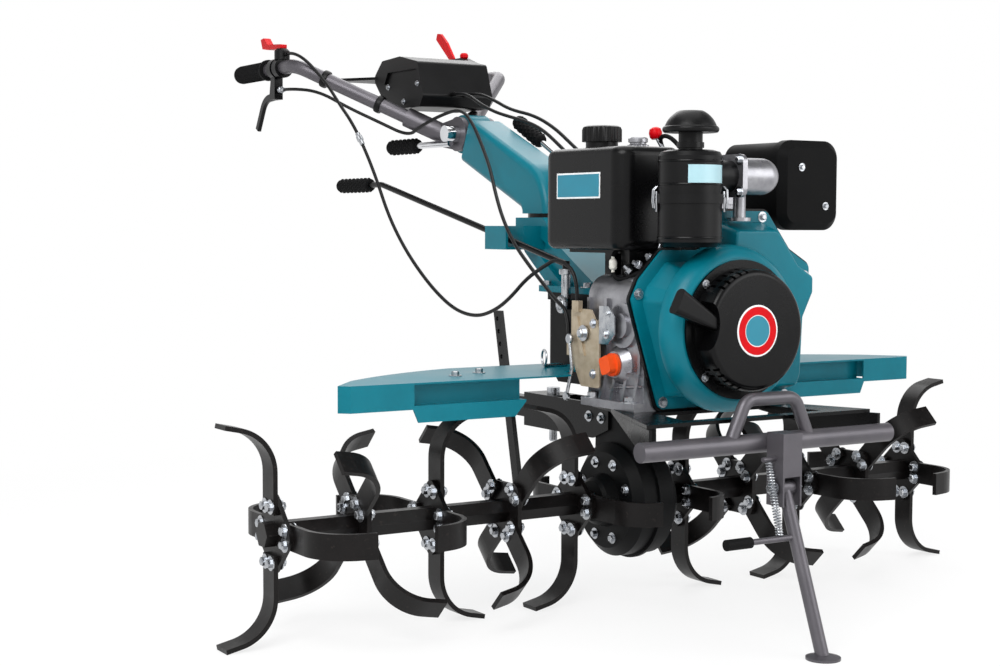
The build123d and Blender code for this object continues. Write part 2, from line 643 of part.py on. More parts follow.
def cooling_shroud():
    """Pressed fan shroud: bolt flange, lofted body and the rounded cone that carries the starter."""
    flange = Pos(SHROUD_X0, 0, 0) * extrude(shroud_face(0, SHROUD_CORNER), amount=SHROUD_FLANGE_T)
    foot = Pos(SHROUD_X0, 0, 0) * shroud_face(-SHROUD_INSET, SHROUD_CORNER)
    front = Pos(SHROUD_X1, 0, 0) * shroud_face(-SHROUD_INSET - SHROUD_DRAFT, SHROUD_CORNER * 0.7)
    body = loft([foot, front], ruled=True)
    body = fillet(body.faces().sort_by(Axis.X)[-1].edges(), SHROUD_ROUND)
    base = SHROUD_X1 - SHROUD_ROUND
    bulge = (base + VOLUTE_LEN * 0.72, 0, VOLUTE_R0 - 5)
    edges = [
        Line((base, 0, 0), (base, 0, VOLUTE_R0)),
        ThreePointArc((base, 0, VOLUTE_R0), bulge, (RECOIL_X, 0, VOLUTE_R1)),
        Line((RECOIL_X, 0, VOLUTE_R1), (RECOIL_X, 0, 0)),
        Line((RECOIL_X, 0, 0), (base, 0, 0)),
    ]
    return flange + body + Pos(0, 0, CRANK_Z) * revolve(make_face(edges), axis=Axis.X)


def recoil_starter():
    """Starter housing: flange, round-edged drum with a hollow for the rope handle, and cooling slots."""
    x1 = RECOIL_X + RECOIL_FLANGE_T
    x2 = x1 + RECOIL_LEN
    drum = turned_x(CRANK_Z, [(RECOIL_X, 0), (RECOIL_X, RECOIL_FLANGE_R), (x1, RECOIL_FLANGE_R),
                              (x1, RECOIL_R + RIB_H / 2), (x2, RECOIL_R), (x2, 0)])
    drum = fillet(drum.edges().filter_by(GeomType.CIRCLE).sort_by(Axis.X)[-1], RECOIL_ROUND)
    y, z = -RECOIL_R + NOTCH_DEPTH - NOTCH_R, CRANK_Z + NOTCH_LIFT
    drum -= rod((x1 + RIB_H, y, z), (x2 + 1, y, z), NOTCH_R)
    for row in (RIB_H, 2 * RIB_H + VENT_L):
        slot = block(x1 + row, x1 + row + VENT_L, -VENT_W / 2, VENT_W / 2, RECOIL_R - RIB_H, RECOIL_R + RIB_H)
        for start in (12, 128):
            for i in range(VENTS):
                drum -= Pos(0, 0, CRANK_Z) * Rot(start + VENT_PITCH * i, 0, 0) * slot
    return drum


def recoil_handle():
    """Flared rope handle resting in the starter's hollow."""
    x = RECOIL_X + RECOIL_FLANGE_T + RECOIL_LEN * 0.6
    y = -RECOIL_R + NOTCH_DEPTH - 5 * GAP
    lean = radians(HANDLE_LEAN)
    way = Vector(0, -cos(lean), sin(lean))
    inner = Vector(x, y, CRANK_Z + NOTCH_LIFT) - way * HANDLE_T
    ends = [(inner, HANDLE_NARROW, 5), (inner + way * (HANDLE_T + HANDLE_LEN), HANDLE_WIDE, 9)]
    faces = [Plane(at, x_dir=(1, 0, 0), z_dir=way) * RectangleRounded(HANDLE_T, wide, r) for at, wide, r in ends]
    grip = loft(faces)
    return grip - block(x - HANDLE_T, x + HANDLE_T, y, 0, CRANK_Z - NOTCH_R, CRANK_Z + NOTCH_R)


def fuel_tank():
    """Pressed tank with large upright corners."""
    tank = block(TANK_X0, TANK_X1, TANK_Y0, TANK_Y1, TANK_Z0, TANK_Z1)
    tank = fillet(tank.edges().filter_by(Axis.Z), TANK_CORNER_R)
    return fillet(tank.edges().group_by(Axis.Z)[-1] + tank.edges().group_by(Axis.Z)[0], TANK_EDGE_R)


def tank_bracket():
    """Two posts and a cradle between the block and the tank."""
    y0, y1 = TANK_Y0 + TANK_W * 0.3, TANK_Y1 - TANK_W * 0.14
    half = TANK_POST_L / 2
    post = block(-half, half, y0, y1, BLOCK_TOP, TANK_Z0)
    end = PUMP_X - PUMP_R - PUMP_ROOM
    rail = block(TANK_X0 + TANK_CORNER_R, end, y0, y1, TANK_Z0 - BED_T, TANK_Z0)
    return rail + [Pos(BLOCK_X0 + TANK_POST_AT, 0, 0) * post, Pos(end - half, 0, 0) * post]


def fuel_cap():
    """Filler cap with a stepped rim."""
    z0, z1 = TANK_Z1, TANK_Z1 + CAP_H
    return turned_z(CAP_X, CAP_Y, [(0, z0), (CAP_R * 0.8, z0), (CAP_R * 0.8, z0 + CAP_H * 0.3),
                                   (CAP_R, z0 + CAP_H * 0.3), (CAP_R, z1 - 6), (CAP_R - 7, z1), (0, z1)])


def air_cleaner():
    """Oil-bath canister with its clamp band, neck and side outlet."""
    z0, z1 = CANISTER_Z0, CANISTER_Z1
    r, band = CANISTER_R, (CANISTER_Z0 + CANISTER_Z1) / 2
    drum = turned_z(CANISTER_X, CANISTER_Y, [
        (0, z0), (r - 10, z0), (r, z0 + 8), (r, band - BAND_W), (r + BAND_OUT, band - BAND_W),
        (r + BAND_OUT, band + BAND_W), (r, band + BAND_W), (r, z1 - 10), (r - 4, z1 - 3), (r - 14, z1),
        (NECK_PIPE_R, z1), (NECK_PIPE_R, z1 + NECK_PIPE_H), (0, z1 + NECK_PIPE_H),
    ])
    outlet_y = CANISTER_Y + CANISTER_R + 30
    return drum + rod((CANISTER_X, CANISTER_Y, INTAKE_Z), (CANISTER_X, outlet_y, INTAKE_Z), INTAKE_R + 2)


def air_cleaner_cap():
    """Domed rain cap with a flared brim."""
    z0, r, h = CANISTER_Z1 + NECK_PIPE_H, MUSHROOM_R, MUSHROOM_H
    brim, crown = z0 + h * 0.3, r * 0.42
    edges = [
        Line((0, 0, z0), (r - 3, 0, z0)),
        ThreePointArc((r - 3, 0, z0), (r, 0, z0 + h * 0.12), (r - 4, 0, brim)),
        ThreePointArc((r - 4, 0, brim), (r * 0.72, 0, z0 + h * 0.72), (crown, 0, z0 + h)),
        Line((crown, 0, z0 + h), (0, 0, z0 + h)),
        Line((0, 0, z0 + h), (0, 0, z0)),
    ]
    return Pos(CANISTER_X, CANISTER_Y, 0) * revolve(make_face(edges), axis=Axis.Z)


def intake_elbow():
    """Cast intake: flange on the air cleaner, round-ended body, pipe to the head and stay on the shroud."""
    y0 = CANISTER_Y + CANISTER_R + 30
    y1 = y0 + INTAKE_FLANGE_T
    half = INTAKE_FLANGE / 2
    flange = block(CANISTER_X - half, CANISTER_X + half, y0, y1, INTAKE_Z - half, INTAKE_Z + half)
    flange = fillet(flange.edges().filter_by(Axis.Y), half * 0.4)
    end_y = y1 + ELBOW_L - ELBOW_R
    body = rod((CANISTER_X, y1, INTAKE_Z), (CANISTER_X, end_y, INTAKE_Z), ELBOW_R)
    body += Pos(CANISTER_X, end_y, INTAKE_Z) * Sphere(ELBOW_R)
    pipe_x = HEAD_X1 - ROCKER_INSET + GAP
    pipe = rod((CANISTER_X, end_y, INTAKE_Z), (pipe_x, end_y, INTAKE_Z), INTAKE_R)
    stay_x, stay_y = SHROUD_X0 + SHROUD_T * 0.6, y1 + ELBOW_R
    seat = SHROUD_TOP - SHROUD_INSET + GAP
    stay = turned_z(stay_x, stay_y, [(0, seat), (STAY_FOOT, seat), (STAY_FOOT, seat + BED_T), (STAY_R, seat + BED_T),
                                     (STAY_R, INTAKE_Z), (0, INTAKE_Z)])
    return flange + body + pipe + stay


def muffler():
    """Silencer box and its pipe from the cylinder head."""
    x0, x1 = MUFFLER_X1 - MUFFLER_L, MUFFLER_X1 - MUFFLER_CAP
    inset = RIB_H / 2
    body = block(x0, x1, MUFFLER_Y0 + inset, MUFFLER_Y0 + MUFFLER_W - inset,
                 MUFFLER_Z0 + inset, MUFFLER_Z0 + MUFFLER_H - inset)
    body = fillet(body.edges().filter_by(Axis.X), MUFFLER_ROUND - inset)
    z = BLOCK_TOP + HEAD_H * 0.82
    pipe_x = HEAD_X0 + HEAD_L * 0.55
    pipe = rod((pipe_x, HEAD_Y1 - FIN_DEPTH, z), (pipe_x, MUFFLER_Y0 + MUFFLER_W * 0.3, z), EXHAUST_R)
    return body + (pipe - block(HEAD_X0, HEAD_X1, HEAD_Y0, HEAD_Y1 + GAP, BLOCK_TOP, HEAD_Z + 1))


def muffler_cap():
    """Pressed front cover of the silencer."""
    x0, x1 = MUFFLER_X1 - MUFFLER_CAP, MUFFLER_X1
    cap = block(x0, x1, MUFFLER_Y0, MUFFLER_Y0 + MUFFLER_W, MUFFLER_Z0, MUFFLER_Z0 + MUFFLER_H)
    cap = fillet(cap.edges().filter_by(Axis.X), MUFFLER_ROUND)
    return chamfer(cap.faces().sort_by(Axis.X)[-1].edges(), MUFFLER_CAP * 0.45)


def control_plate():
    """Speed control plate on two posts, with its lever."""
    y1 = BLOCK_Y0 - PLATE_OFF
    x0, x1, z0, z1 = PLATE_X0, PLATE_X0 + PLATE_L, PLATE_Z0, PLATE_Z0 + PLATE_H
    outline = [(x0, z0 + 50), (x0 + 30, z0), (x1, z0), (x1, z1 - 34), (x1 - 26, z1), (x0, z1)]
    plate = plate_xz(outline, y1 - PLATE_T, y1, 5)
    post_x = BLOCK_X0 + 40
    posts = [rod((post_x, y1, z), (post_x, BLOCK_Y0, z), POST_R) for z in (z0 + 24, z1 - 24)]
    arm = plate_xz([(x0 + 30, z0 + 60), (x0 + 44, z0 + 54), (x0 + 22, z1 - 14), (x0 + 10, z1 - 14)],
                   y1 - 2 * PLATE_T, y1 - PLATE_T)
    lug = block(x0 + 10, x0 + 30, y1 - 3 * PLATE_T, y1, z1 - 6, z1 + LUG_RISE)
    tab = block(x0 - LUG_RISE, x0 + 6, y1 - PLATE_T, y1, z0 + 52, z0 + 76)
    return plate + posts + arm + lug + tab


def injection_pump():
    """Fuel pump body on the block's shoulder, under the tank."""
    x = PUMP_X
    y = BLOCK_Y0 + BLOCK_ROUND + PUMP_R
    z = BLOCK_TOP
    return turned_z(x, y, [(0, z), (PUMP_R, z), (PUMP_R, z + PUMP_H * 0.4), (PUMP_R * 0.6, z + PUMP_H * 0.5),
                           (PUMP_R * 0.6, z + PUMP_H), (0, z + PUMP_H)])


def fender_right():
    """Sheet fender: plate with an arched rear edge and a rim, a folded rail in front, a gearbox tab."""
    y_in = -UPPER_HALF - GAP
    x0, x1, c, t = -FENDER_REAR, FENDER_FRONT, FENDER_CORNER, FENDER_T
    low, top_z = FENDER_Z - FENDER_LIP, FENDER_Z - t
    step = FENDER_STEP_Y - c * 0.7
    tip = (x1 - FENDER_TIP_BACK, -FENDER_OUT + FENDER_TIP_IN, low)
    wide = (x0, -FENDER_WIDE_Y, low)
    arch = ((tip[0] + wide[0]) / 2 - c * 0.25, (tip[1] + wide[1]) / 2 - c * 0.25, low)
    front = [wide, (x0, y_in, low), (FENDER_STEP_X, y_in, low), (FENDER_STEP_X, FENDER_STEP_Y, low),
             (x1, step, low), (x1, -FENDER_OUT + c / 3, low), (x1 - c / 3, -FENDER_OUT, low), tip]
    face = make_face([Polyline(*front), ThreePointArc(tip, arch, wide)])
    top = extrude(Pos(0, 0, top_z - low) * face, amount=t, dir=(0, 0, 1))
    rim = extrude(face - offset(face, -t, kind=Kind.INTERSECTION), amount=FENDER_LIP, dir=(0, 0, 1))
    rim -= block(x0 - 1, FENDER_STEP_X + t, FENDER_STEP_Y - c, 0, 0, top_z)
    rim -= block(FENDER_STEP_X, x1 + 1, -FENDER_SPLIT, 0, 0, top_z)
    web_x, shelf = x1 - FENDER_RAIL_IN, FENDER_Z - FENDER_WEB_H
    strip = shelf - FENDER_STRIP
    channel = [(web_x - t, top_z), (web_x, top_z), (web_x, shelf), (x1, shelf), (x1, strip), (x1 - t, strip),
               (x1 - t, shelf - t), (web_x - t, shelf - t)]
    rail = plate_xz(channel, -FENDER_SPLIT - t, -FENDER_RAIL_END)
    for end, inward in ((-FENDER_SPLIT - t, c / 4), (-FENDER_RAIL_END, -c / 2)):
        slant = [(0, end, strip - 1), (0, end + inward, strip - 1), (0, end, shelf - t)]
        rail -= extrude(make_face(Polyline(*slant, close=True)), amount=x1 + 1, dir=(1, 0, 0))
    tab = block(x0 + c, -t, y_in - t, y_in, top_z, FENDER_Z + FENDER_TAB)
    return top + rim + rail + tab


def stake_face(grow):
    """Side outline of the depth stake, leaning back at the top."""
    top_z = HITCH_Z1 + 154
    top_x = HITCH_X0 - 150
    lean = radians(STAKE_LEAN)
    half = STAKE_W / 2 + grow
    dx, dz = STAKE_LEN * sin(lean), -STAKE_LEN * cos(lean)
    return [(top_x - half, top_z), (top_x + half, top_z), (top_x + dx + half, top_z + dz),
            (top_x + dx - half, top_z + dz)]


def hitch():
    """Two plates on the gearbox leg, the clevis they form, and the drawbar that holds the stake."""
    z0, z1 = HITCH_Z1 - HITCH_H, HITCH_Z1
    y0, y1 = LEG_HALF + GAP, LEG_HALF + GAP + HITCH_T
    side = plate_xz([(HITCH_X0, z0), (LEG_X0 - RIB_H, z0), (LEG_X0 + LEG_L * 0.4, z0 + 20),
                     (LEG_X0 + LEG_L * 0.4, z1), (HITCH_X0, z1)], -y1, -y0)
    x1 = HITCH_X0 + HITCH_L
    webs = [block(HITCH_X0, x1, -y1, y1, z1 - HITCH_FLANGE, z1),
            block(HITCH_X0, x1, -y1, y1, z0, z0 + HITCH_FLANGE)]
    mid = (z0 + z1) / 2
    bar = block(HITCH_X0 - DRAWBAR_L, HITCH_X0 + HITCH_FLANGE, -DRAWBAR_HALF, DRAWBAR_HALF,
                mid - DRAWBAR_H / 2, mid + DRAWBAR_H / 2)
    back = block(HITCH_X0, HITCH_X0 + HITCH_FLANGE, -y1, y1, z0, z1)
    slot = plate_xz(stake_face(GAP), -STAKE_T / 2 - GAP, STAKE_T / 2 + GAP)
    pin_x = HITCH_X0 + HITCH_L * 0.6
    bore = rod((pin_x, 0, z0 - 1), (pin_x, 0, z1 + 1), HITCH_PIN_R)
    return side + mirrored(side) + webs + bar + back - slot - bore


def hitch_pin():
    """Drop pin with a round head."""
    z0, z1 = HITCH_Z1 - HITCH_H, HITCH_Z1
    pin_x = HITCH_X0 + HITCH_L * 0.6
    r = HITCH_PIN_R - RUN_FIT
    foot, head = z0 - HITCH_PIN_OVER, z1 + GAP
    return turned_z(pin_x, 0, [(0, foot), (r - 2, foot), (r, foot + 3), (r, head), (r + 5, head),
                               (r + 5, head + 12), (0, head + 12)])


def depth_stake():
    """Flat stake that sets the working depth, with its row of pin holes."""
    stake = plate_xz(stake_face(0), -STAKE_T / 2, STAKE_T / 2)
    top_z = HITCH_Z1 + 154
    top_x = HITCH_X0 - 150
    lean = radians(STAKE_LEAN)
    for i in range(8):
        along = STAKE_W * (0.7 + 1.1 * i)
        x, z = top_x + along * sin(lean), top_z - along * cos(lean)
        if z > HITCH_Z1 or z < HITCH_Z1 - HITCH_H:
            stake -= rod((x, -STAKE_T, z), (x, STAKE_T, z), STAKE_W * 0.2)
    return stake


def handle_base():
    """Cast seat of the handle column: flange, leaning neck with side pockets, top block, rod guide."""
    f0 = UPPER_X0 - 24
    f1 = f0 + SEAT_FLANGE_L
    z0, z1 = UPPER_TOP, SEAT_TOP
    b0, b1 = COLUMN_X - SEAT_BLOCK / 2, COLUMN_X + SEAT_BLOCK / 2
    neck = [(f0 + 20, z0), (f1, z0), (f1, z0 + SEAT_FLANGE_T), (b1 + 60, z0 + SEAT_H * 0.6), (b1, z1),
            (b0, z1), (b0, z1 - 22), (b0 + 34, z0 + SEAT_H * 0.52)]
    body = plate_xz(neck, -SEAT_HALF, SEAT_HALF)
    inner = [(f0 + 44, z0 + 20), (f1 - 34, z0 + 20), (b1 + 46, z0 + SEAT_H * 0.5), (b1 - 12, z1 - 36),
             (b0 + 46, z1 - 46)]
    body -= plate_xz(inner, -SEAT_HALF - 1, -SEAT_HALF + POCKET_D, SEAT_ROUND)
    body -= plate_xz(inner, SEAT_HALF - POCKET_D, SEAT_HALF + 1, SEAT_ROUND)
    flange = block(f0, f1, -UPPER_HALF + 2, SEAT_HALF, z0, z0 + SEAT_FLANGE_T)
    return body + flange + rod_guide()


def rod_guide():
    """Open U on the seat's right side that carries the shift rod."""
    x0, x1 = COLUMN_X - GUIDE_L * 0.44, COLUMN_X + GUIDE_L * 0.56
    _, y, z = shift_point((x0 + x1) / 2)
    y0, y1 = y - GUIDE_W / 2, -SEAT_HALF + POCKET_D
    low = z - SHIFT_R - 2 * SWING
    floor = block(x0, x1, y0, y1, low - GUIDE_T, low)
    side = block(x0, x1, y0, y0 + GUIDE_T, low - GUIDE_T, low + GUIDE_H)
    return floor + side + block(x0, x1, y + GUIDE_W / 2, y1, low - GUIDE_T, low + GUIDE_H)


def swivel_disc():
    """Dark seat disc between the base and the arm."""
    return rod((COLUMN_X, 0, SEAT_TOP), (COLUMN_X, 0, ARM_Z0), SWIVEL_R)


def handle_arm():
    """Box-section gooseneck with a narrow round eye at its upper end."""
    elbow = (COLUMN_X, 0, ARM_Z0 + ARM_RISE)
    slope = Vector(EYE_X - COLUMN_X, 0, EYE_Z - elbow[2]).normalized()
    stop = CHEEK_R + SWING
    end = (EYE_X - slope.X * stop, 0, EYE_Z - slope.Z * stop)
    path = FilletPolyline((COLUMN_X, 0, ARM_Z0), elbow, end, radius=ARM_BEND)
    section = Plane(path @ 0, x_dir=(0, 1, 0), z_dir=path % 0) * RectangleRounded(ARM_W, ARM_D, ARM_ROUND)
    arm = sweep(section, path=path)
    web = Plane((EYE_X, 0, EYE_Z), x_dir=(0, 1, 0), z_dir=Vector(0, 0, 0) - slope)
    tongue = extrude(web * Rectangle(2 * EYE_HALF, 2 * EYE_R - 6), amount=stop + ARM_ROUND)
    eye = rod((EYE_X, -EYE_HALF, EYE_Z), (EYE_X, EYE_HALF, EYE_Z), EYE_R)
    bore = rod((EYE_X, -EYE_HALF - 1, EYE_Z), (EYE_X, EYE_HALF + 1, EYE_Z), PIN_R)
    return arm + tongue + eye - bore


def hub_half():
    """Half width over the handlebar's cheeks."""
    return EYE_HALF + CHEEK_GAP + CHEEK_T


def clamp_lever():
    """Tilt clamp: pin through the eye, hub and lever bar."""
    half = hub_half()
    pin = rod((EYE_X, -half - 10, EYE_Z), (EYE_X, half + 10, EYE_Z), PIN_R - RUN_FIT)
    hub = rod((EYE_X, -half - CLAMP_HUB_L - GAP, EYE_Z), (EYE_X, -half - GAP, EYE_Z), CLAMP_HUB_R)
    nut = rod((EYE_X, half + GAP, EYE_Z), (EYE_X, half + 9, EYE_Z), CLAMP_HUB_R * 0.8)
    y = -half - GAP - CLAMP_HUB_L / 2
    z = EYE_Z - CLAMP_DROP
    return pin + hub + nut + rod((EYE_X, y, z), (EYE_X - CLAMP_L, y, z), CLAMP_R)


def clamp_grip():
    """Rubber grip of the tilt clamp."""
    y, z = -hub_half() - GAP - CLAMP_HUB_L / 2, EYE_Z - CLAMP_DROP
    grip = rod((EYE_X - CLAMP_L, y, z), (EYE_X - CLAMP_L - CLAMP_GRIP_L, y, z), CLAMP_GRIP_R)
    return fillet(grip.edges().filter_by(GeomType.CIRCLE), CLAMP_GRIP_R * 0.3)


def bar_points(side):
    """Corners of one handlebar tube: neck, bend and grip end."""
    return [(NECK_X, side * BAR_START_Y, NECK_Z), (BEND_X, side * GRIP_Y, GRIP_Z),
            (GRIP_END_X + GRIP_CAP, side * GRIP_Y, GRIP_Z)]


def along_bar(side, share):
    """A point on the slanted run of one handlebar tube."""
    start, bend, _ = bar_points(side)
    return tuple(a + (b - a) * share for a, b in zip(start, bend))


def handlebar():
    """Fork over the arm's eye, yoke, and two tubes that spread to the grips."""
    bar = rod((NECK_X, -hub_half(), NECK_Z), (NECK_X, hub_half(), NECK_Z), YOKE_R)
    for side in (-1, 1):
        y = side * (hub_half() - CHEEK_T / 2)
        cheek = rod((EYE_X, y - CHEEK_T / 2, EYE_Z), (EYE_X, y + CHEEK_T / 2, EYE_Z), CHEEK_R)
        strap = plate_xz([(EYE_X, EYE_Z + CHEEK_R - 2), (NECK_X, NECK_Z + YOKE_R), (NECK_X, NECK_Z - YOKE_R),
                          (EYE_X, EYE_Z - CHEEK_R + 2)], y - CHEEK_T / 2, y + CHEEK_T / 2)
        bar += [cheek, strap, bent_bar(bar_points(side), BAR_BEND, BAR_R),
                rod(along_bar(side, 0), along_bar(side, NECK_SHARE), NECK_R)]
    return bar - rod((EYE_X, -hub_half() - 1, EYE_Z), (EYE_X, hub_half() + 1, EYE_Z), PIN_R)


def grip_right():
    """Rubber grip with a closed end and a collar."""
    x0, x1 = GRIP_END_X, GRIP_END_X + GRIP_LEN
    inside = BAR_R + GAP
    profile = [(x0, 0), (x0, GRIP_R - 3), (x0 + 3, GRIP_R), (x1 - 8, GRIP_R), (x1 - 8, GRIP_R + 4),
               (x1, GRIP_R + 4), (x1, inside), (x0 + GRIP_CAP - GAP, inside), (x0 + GRIP_CAP - GAP, 0)]
    return Pos(0, -GRIP_Y, 0) * turned_x(GRIP_Z, profile)


def perch(side, x):
    """Clamp ring of a lever on the handlebar tube."""
    y, half = side * GRIP_Y, PERCH_W / 2
    ring = rod((x - half, y, GRIP_Z), (x + half, y, GRIP_Z), BAR_R + PERCH_WALL)
    return ring - rod((x - PERCH_W, y, GRIP_Z), (x + PERCH_W, y, GRIP_Z), BAR_R + GAP)


def clutch_lever():
    """Perch under the right tube and its curved lever blade."""
    x, low = PERCH_X, GRIP_Z - BAR_R - 3
    half, z = PERCH_W / 2, GRIP_Z - BAR_R - 3 - PERCH_DROP
    bracket = plate_xz([(x - half, low), (x + half, low), (x + half, z), (x - 2 * half, z)],
                       -GRIP_Y - half, -GRIP_Y + half)
    points = [(x, -GRIP_Y, z + 8), (x - 62, -GRIP_Y, z + 4), (x - 102, -GRIP_Y, z - 62)]
    path = FilletPolyline(*points, radius=46)
    section = Plane(path @ 0, x_dir=(0, 1, 0), z_dir=path % 0)
    lever = sweep(section * RectangleRounded(BLADE_LEVER_T, BLADE_LEVER_W, 3), path=path)
    z = low - PERCH_DROP * 0.6
    ferrule = rod((x, -GRIP_Y, z), (x + half + FERRULE_L, -GRIP_Y, z), FERRULE_R)
    return perch(-1, x) + bracket + lever + ferrule


def thumb_lever():
    """Body of the speed lever on the right tube."""
    x = THUMB_X
    z = GRIP_Z + BAR_R
    r = THUMB_R
    body = turned_z(x, -GRIP_Y, [(0, z + 3), (r, z + 3), (r, z + 22), (r - 5, z + 27), (0, z + 27)])
    ferrule = rod((x, -GRIP_Y, THUMB_CABLE_Z), (x + r + FERRULE_L, -GRIP_Y, THUMB_CABLE_Z), FERRULE_R)
    return perch(-1, x) + body + ferrule


def speed_lever():
    """Red thumb blade of the speed lever, turned up at its end."""
    x, z = THUMB_X, GRIP_Z + BAR_R + 27
    outline = [(x + 8, z), (x - 60, z + 2), (x - 88, z + 6), (x - 98, z + 28), (x - 80, z + 30), (x - 62, z + 14),
               (x + 8, z + 9)]
    return plate_xz(outline, -GRIP_Y - 8, -GRIP_Y + 8, 2)


def lever_housing():
    """Housing of the levers on the left tube, reaching back over the grip."""
    x, z = PERCH_X, GRIP_Z + BAR_R
    clear = GRIP_R + 4 + SWING - BAR_R
    outline = [(x + 12, z + 2), (x + 12, z + 22), (x - 40, z + 40), (x - 112, z + 40), (x - 112, z + clear),
               (x - 40, z + clear), (x - 12, z + 8), (x - 9, z + 2)]
    return perch(1, x) + plate_xz(outline, GRIP_Y - 26, GRIP_Y - 2)


def red_lever():
    """Flat red lever on the left housing."""
    x, z, y = PERCH_X - 96, GRIP_Z + BAR_R + 40, GRIP_Y - 14
    outline = [(x + 10, z), (x - 12, z), (x - 78, z + 56), (x - 72, z + 70), (x - 56, z + 68), (x - 26, z + 44)]
    return plate_xz(outline, y - 3, y + 3, 3)


def console_face():
    """Side outline of the control console."""
    x0, x1, z0, z1 = CONSOLE_X0, CONSOLE_FRONT, CONSOLE_Z0, CONSOLE_Z0 + CONSOLE_H
    return [(x0, z0 + CONSOLE_H * 0.56), (x0 + 60, z0), (x1 - 16, z0), (x1, z0 + CONSOLE_H * 0.2),
            (x1 - 26, z1 - 16), (x1 - 104, z1), (x0 + 34, z1 - 4), (x0, z1 - 34)]


def console_box():
    """Console housing notched over the two tubes, with stepped sides, rear tray and cable outlets."""
    box = plate_xz(console_face(), -CONSOLE_HALF, CONSOLE_HALF)
    box = fillet(box.edges().filter_by(Axis.Y), CONSOLE_ROUND)
    x0, x1, z1 = CONSOLE_X0, CONSOLE_FRONT, CONSOLE_Z0 + CONSOLE_H
    waist = [(x0 + 44, CONSOLE_Z0 + CONSOLE_H * 0.5), (x1 - 20, CONSOLE_Z0 + CONSOLE_H * 0.5),
             (x1 - 30, z1 - CONSOLE_H * 0.28), (x0 + 60, z1 - CONSOLE_H * 0.28)]
    for side in (-1, 1):
        y = side * CONSOLE_HALF
        box -= plate_xz(waist, min(y, y - side * CONSOLE_STEP), max(y, y - side * CONSOLE_STEP))
        box -= rod(along_bar(side, 0), along_bar(side, NECK_SHARE), NECK_R + GAP)
        box -= rod(along_bar(side, NECK_SHARE), along_bar(side, 1), BAR_R + GAP)
    z = CONSOLE_Z0 + CONSOLE_H * 0.62
    tray = plate_xy([(x0 - TRAY_L, -TRAY_HALF), (x0 + CONSOLE_ROUND, -CONSOLE_HALF),
                     (x0 + CONSOLE_ROUND, CONSOLE_HALF), (x0 - TRAY_L, TRAY_HALF)], z, z + TRAY_T)
    stubs = [rod((x1 - 2 * FERRULE_L, y, CONSOLE_CABLE_Z), (x1 + FERRULE_L, y, CONSOLE_CABLE_Z), FERRULE_R)
             for y in (-SHIFT_CABLE_Y, SHIFT_CABLE_Y)]
    return box + tray + stubs


def shift_point(x):
    """A point of the shift rod's long run at one x."""
    front, bend = shift_route()[0], shift_route()[1]
    share = (x - front[0]) / (bend[0] - front[0])
    return tuple(a + (b - a) * share for a, b in zip(front, bend))


def shift_route():
    """Corners of the shift rod from its link to the grip."""
    x, y = UPPER_X1 - 110, -SHIFT_Y - 58
    return [(x, -SHIFT_Y, SHIFT_LINK_Z + SHIFT_RISE), (COLUMN_X - 422, y, ARM_Z0 + 62),
            (COLUMN_X - 474, y, ARM_Z0 + 62)]


def shift_rod():
    """Shift rod with its link and the link's pivot on the gearbox side."""
    x, y, z = shift_route()[0]
    link = rod((x, y, SHIFT_LINK_Z - 8), (x, y, z + SHIFT_R), SHIFT_R + 1)
    pivot = rod((x, y - 8, SHIFT_LINK_Z), (x, -UPPER_HALF, SHIFT_LINK_Z), 10)
    return bent_bar(shift_route(), 40, SHIFT_R) + link + pivot


def shift_grip():
    """Knurled grip on the shift rod."""
    _, bend, end = shift_route()
    way = (Vector(*end) - Vector(*bend)).normalized() * SHIFT_GRIP_L
    far = Vector(*end) + way
    grip = rod(end, (far.X, far.Y, far.Z), SHIFT_GRIP_R)
    return fillet(grip.edges().filter_by(GeomType.CIRCLE), SHIFT_GRIP_R * 0.3)


def gear_route():
    """Corners of the gear lever from its boss to the grip."""
    x = UPPER_X0 + 20
    return [(x, GEAR_Y, UPPER_TOP + 10), (COLUMN_X - 52, GEAR_Y, SEAT_TOP + 115),
            (COLUMN_X - 130, GEAR_Y, SEAT_TOP + 155)]


def gear_lever():
    """Bent gear lever on its boss."""
    x = UPPER_X0 + 20
    boss = rod((x, GEAR_Y, UPPER_TOP), (x, GEAR_Y, UPPER_TOP + 16), 11)
    return boss + bent_bar(gear_route(), 60, GEAR_R)


def gear_grip():
    """Knurled grip on the gear lever."""
    _, bend, end = gear_route()
    far = Vector(*end) + (Vector(*end) - Vector(*bend)).normalized() * GEAR_GRIP_L
    grip = rod(end, (far.X, far.Y, far.Z), GEAR_GRIP_R)
    return fillet(grip.edges().filter_by(GeomType.CIRCLE), GEAR_GRIP_R * 0.3)


def cable(points):
    """A control cable: straight runs joined by arcs as large as the runs allow."""
    bends = []
    for a, b, c in zip(points, points[1:], points[2:]):
        before, after = Vector(*b) - Vector(*a), Vector(*c) - Vector(*b)
        turn = radians(before.get_angle(after))
        bends.append(0.45 * min(before.length, after.length) / tan(turn / 2))
    return bent_bar(points, bends, CABLE_R)


